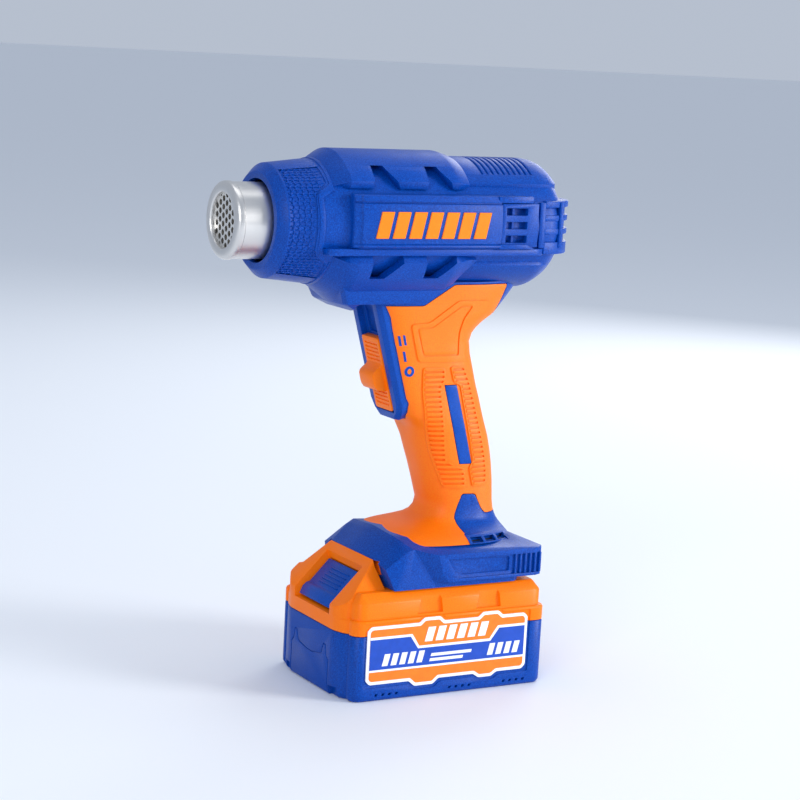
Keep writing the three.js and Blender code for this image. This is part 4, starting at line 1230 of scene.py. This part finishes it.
labelEdge = [(-32, 10), (-30, 8), (-9, 8), (-6, 5.4), (4, 5.4), (7, 8), (26, 8), (29, 6), (36, 6), (39, 8),
             (53, 8), (55, 10), (55, 33.6), (53, 35.6), (41, 35.6), (38.5, 37.8), (30, 37.8), (27.5, 35.6),
             (9, 35.6), (6.5, 37.8), (-2, 37.8), (-4.5, 35.6), (-30, 35.6), (-32, 33.6)]
labelField = [(-30.5, 14), (53.5, 14), (53.5, 30.6), (38.4, 30.6), (36.4, 28), (34, 24.6), (-4.4, 24.6),
              (-6.6, 28), (-8.4, 30.6), (-30.5, 30.6)]
blueField = [(-30.5, 15), (53.5, 15), (53.5, 29.4), (39.2, 29.4), (37.2, 26.8), (34.6, 23.4), (-5, 23.4),
             (-7.4, 26.8), (-9.2, 29.4), (-30.5, 29.4)]


def labelLayer(name, outline, near, far):
    return smooth(acrossY(name, outline, -far, -near), 30)


def makeLabel():
    # white film with orange and blue fields; slanting bars stand where wording would be
    face = -37.8
    white = labelLayer("labelWhite", rounded(labelEdge, 0.8, 3), 36.9, 37.52)
    orange = labelLayer("labelOrange", rounded(grown(labelEdge, -1.5), 0.7, 3), 37.5, 37.60)
    rim = labelLayer("labelRim", labelField, 37.58, 37.66)
    blue = labelLayer("labelBlue", blueField, 37.64, 37.72)
    marks = slantBars("labelBars", -24, 4.6, 5, 16.6, 22.2, 3, 1.4, face, -37.7)
    marks += slantBars("bar", 33, 4.6, 4, 16.6, 22.2, 3, 1.4, face, -37.7)
    marks += slantBars("bar", -1.6, 5.8, 6, 26.4, 33.2, 4, 1.8, face, -37.55)
    marks += slantBars("bar", 2, 0, 1, 19, 20.4, 22, 0.4, face, -37.7)
    marks += slantBars("bar", 1.4, 0, 1, 16.6, 18, 18, 0.4, face, -37.7)
    return white, orange, rim, blue, join(*marks)


def makeButton():
    # a sunk face with a lip to press, in the window
    face = ((-1.2, 3.6), (2.4, 2.2), (5, 2.4), (6.4, 3.4), (20.9, 3.2), (20.9, 4.4), (1.4, 4.6))
    body = acrossY("releaseButton", [slopePoint(*point) for point in face], -16.4, 16.4)
    ribs = []
    for i in range(5):
        up = 8.2 + i * 2.1
        rib = ((up, 3.6), (up + 0.2, 2.7), (up + 0.8, 2.7), (up + 1, 3.6))
        ribs.append(acrossY("rib", [slopePoint(*point) for point in rib], -9, 9))
    catch = [(-28, 50.2), (-9.2, 50), (-9.2, 62.4), (-10.8, 62.4), (-12.4, 61), (-12.4, 52.6), (-26, 52.6)]
    hook = acrossY("hook", catch, -4, 4)
    return soften(join(body, hook, *ribs), 0.35, 2, 30)


def makeButtonWell():
    # blue lining of the window, round the button
    sill = [(-41.6, 36.8), (-41.6, 37.6), (-36.6, 37.7), (-36.6, 36.8)]
    return soften(acrossY("buttonWell", sill, -16.8, 16.8), 0.3, 2, 30)


place(makeBottomCase(), "pack", blueNylon, "blue_pack", "pack_bottom_case")
place(makeTopCase(), "pack", orangeAbs, "orange_pack", "pack_top_case")
place(makeTower(), "pack", orangeAbs, "orange_pack")
labelNodes = (("pack_label_left", "pack_label_right"), (), (), (), ())
for piece, look, nodes in zip(makeLabel(), (whiteFilm, orangeFilm, whiteFilm, blueFilm, whiteFilm), labelNodes):
    place(bothSides(piece), "pack", look, "label_film", *nodes)
place(makeButton(), "button", blueAbs, "blue_button", "release_button")
place(makeButtonWell(), "pack", blueAbs, "blue_button")
print("battery done")


# ---- floor and light ----
deselect()
bpy.ops.mesh.primitive_plane_add(size=60, location=(0, 0, -0.0002))
floor = bpy.context.object
floor.name = "floor"
floorLook = bpy.data.materials.new("pale floor")
floorLook.use_nodes = True
floorShader = floorLook.node_tree.nodes["Principled BSDF"]
floorShader.inputs["Base Color"].default_value = hexColour("#F0F3F7")
floorShader.inputs["Roughness"].default_value = 0.9
floorShader.inputs["Specular IOR Level"].default_value = 0.1
floor.data.materials.append(floorLook)

world = bpy.data.worlds.new("studio")
scene.world = world
world.use_nodes = True
world.node_tree.nodes["Background"].inputs["Color"].default_value = hexColour("#E2EDFF")
world.node_tree.nodes["Background"].inputs["Strength"].default_value = 0.62


def softLight(name, place, target, size, power, colour="#FFFFFF"):
    data = bpy.data.lights.new(name, "AREA")
    data.shape = "RECTANGLE"
    data.size, data.size_y = size
    data.energy = power
    data.color = hexColour(colour)[:3]
    lamp = bpy.data.objects.new(name, data)
    scene.collection.objects.link(lamp)
    lamp.location = place
    lamp.rotation_euler = (Vector(target) - Vector(place)).to_track_quat("-Z", "Y").to_euler()
    return lamp


middle = (0, 0, 0.15)
softLight("key", (1.25, -1.05, 0.5), middle, (0.5, 0.8), 22)
softLight("fill", (-1.1, -1.1, 0.75), middle, (0.8, 0.8), 9)
softLight("top", (0.1, 0.1, 1.6), middle, (1, 0.7), 3)
softLight("rear", (1, 0.8, 0.7), middle, (0.6, 0.8), 5)
scene.view_settings.view_transform = "Standard"
print("floor and light ready")
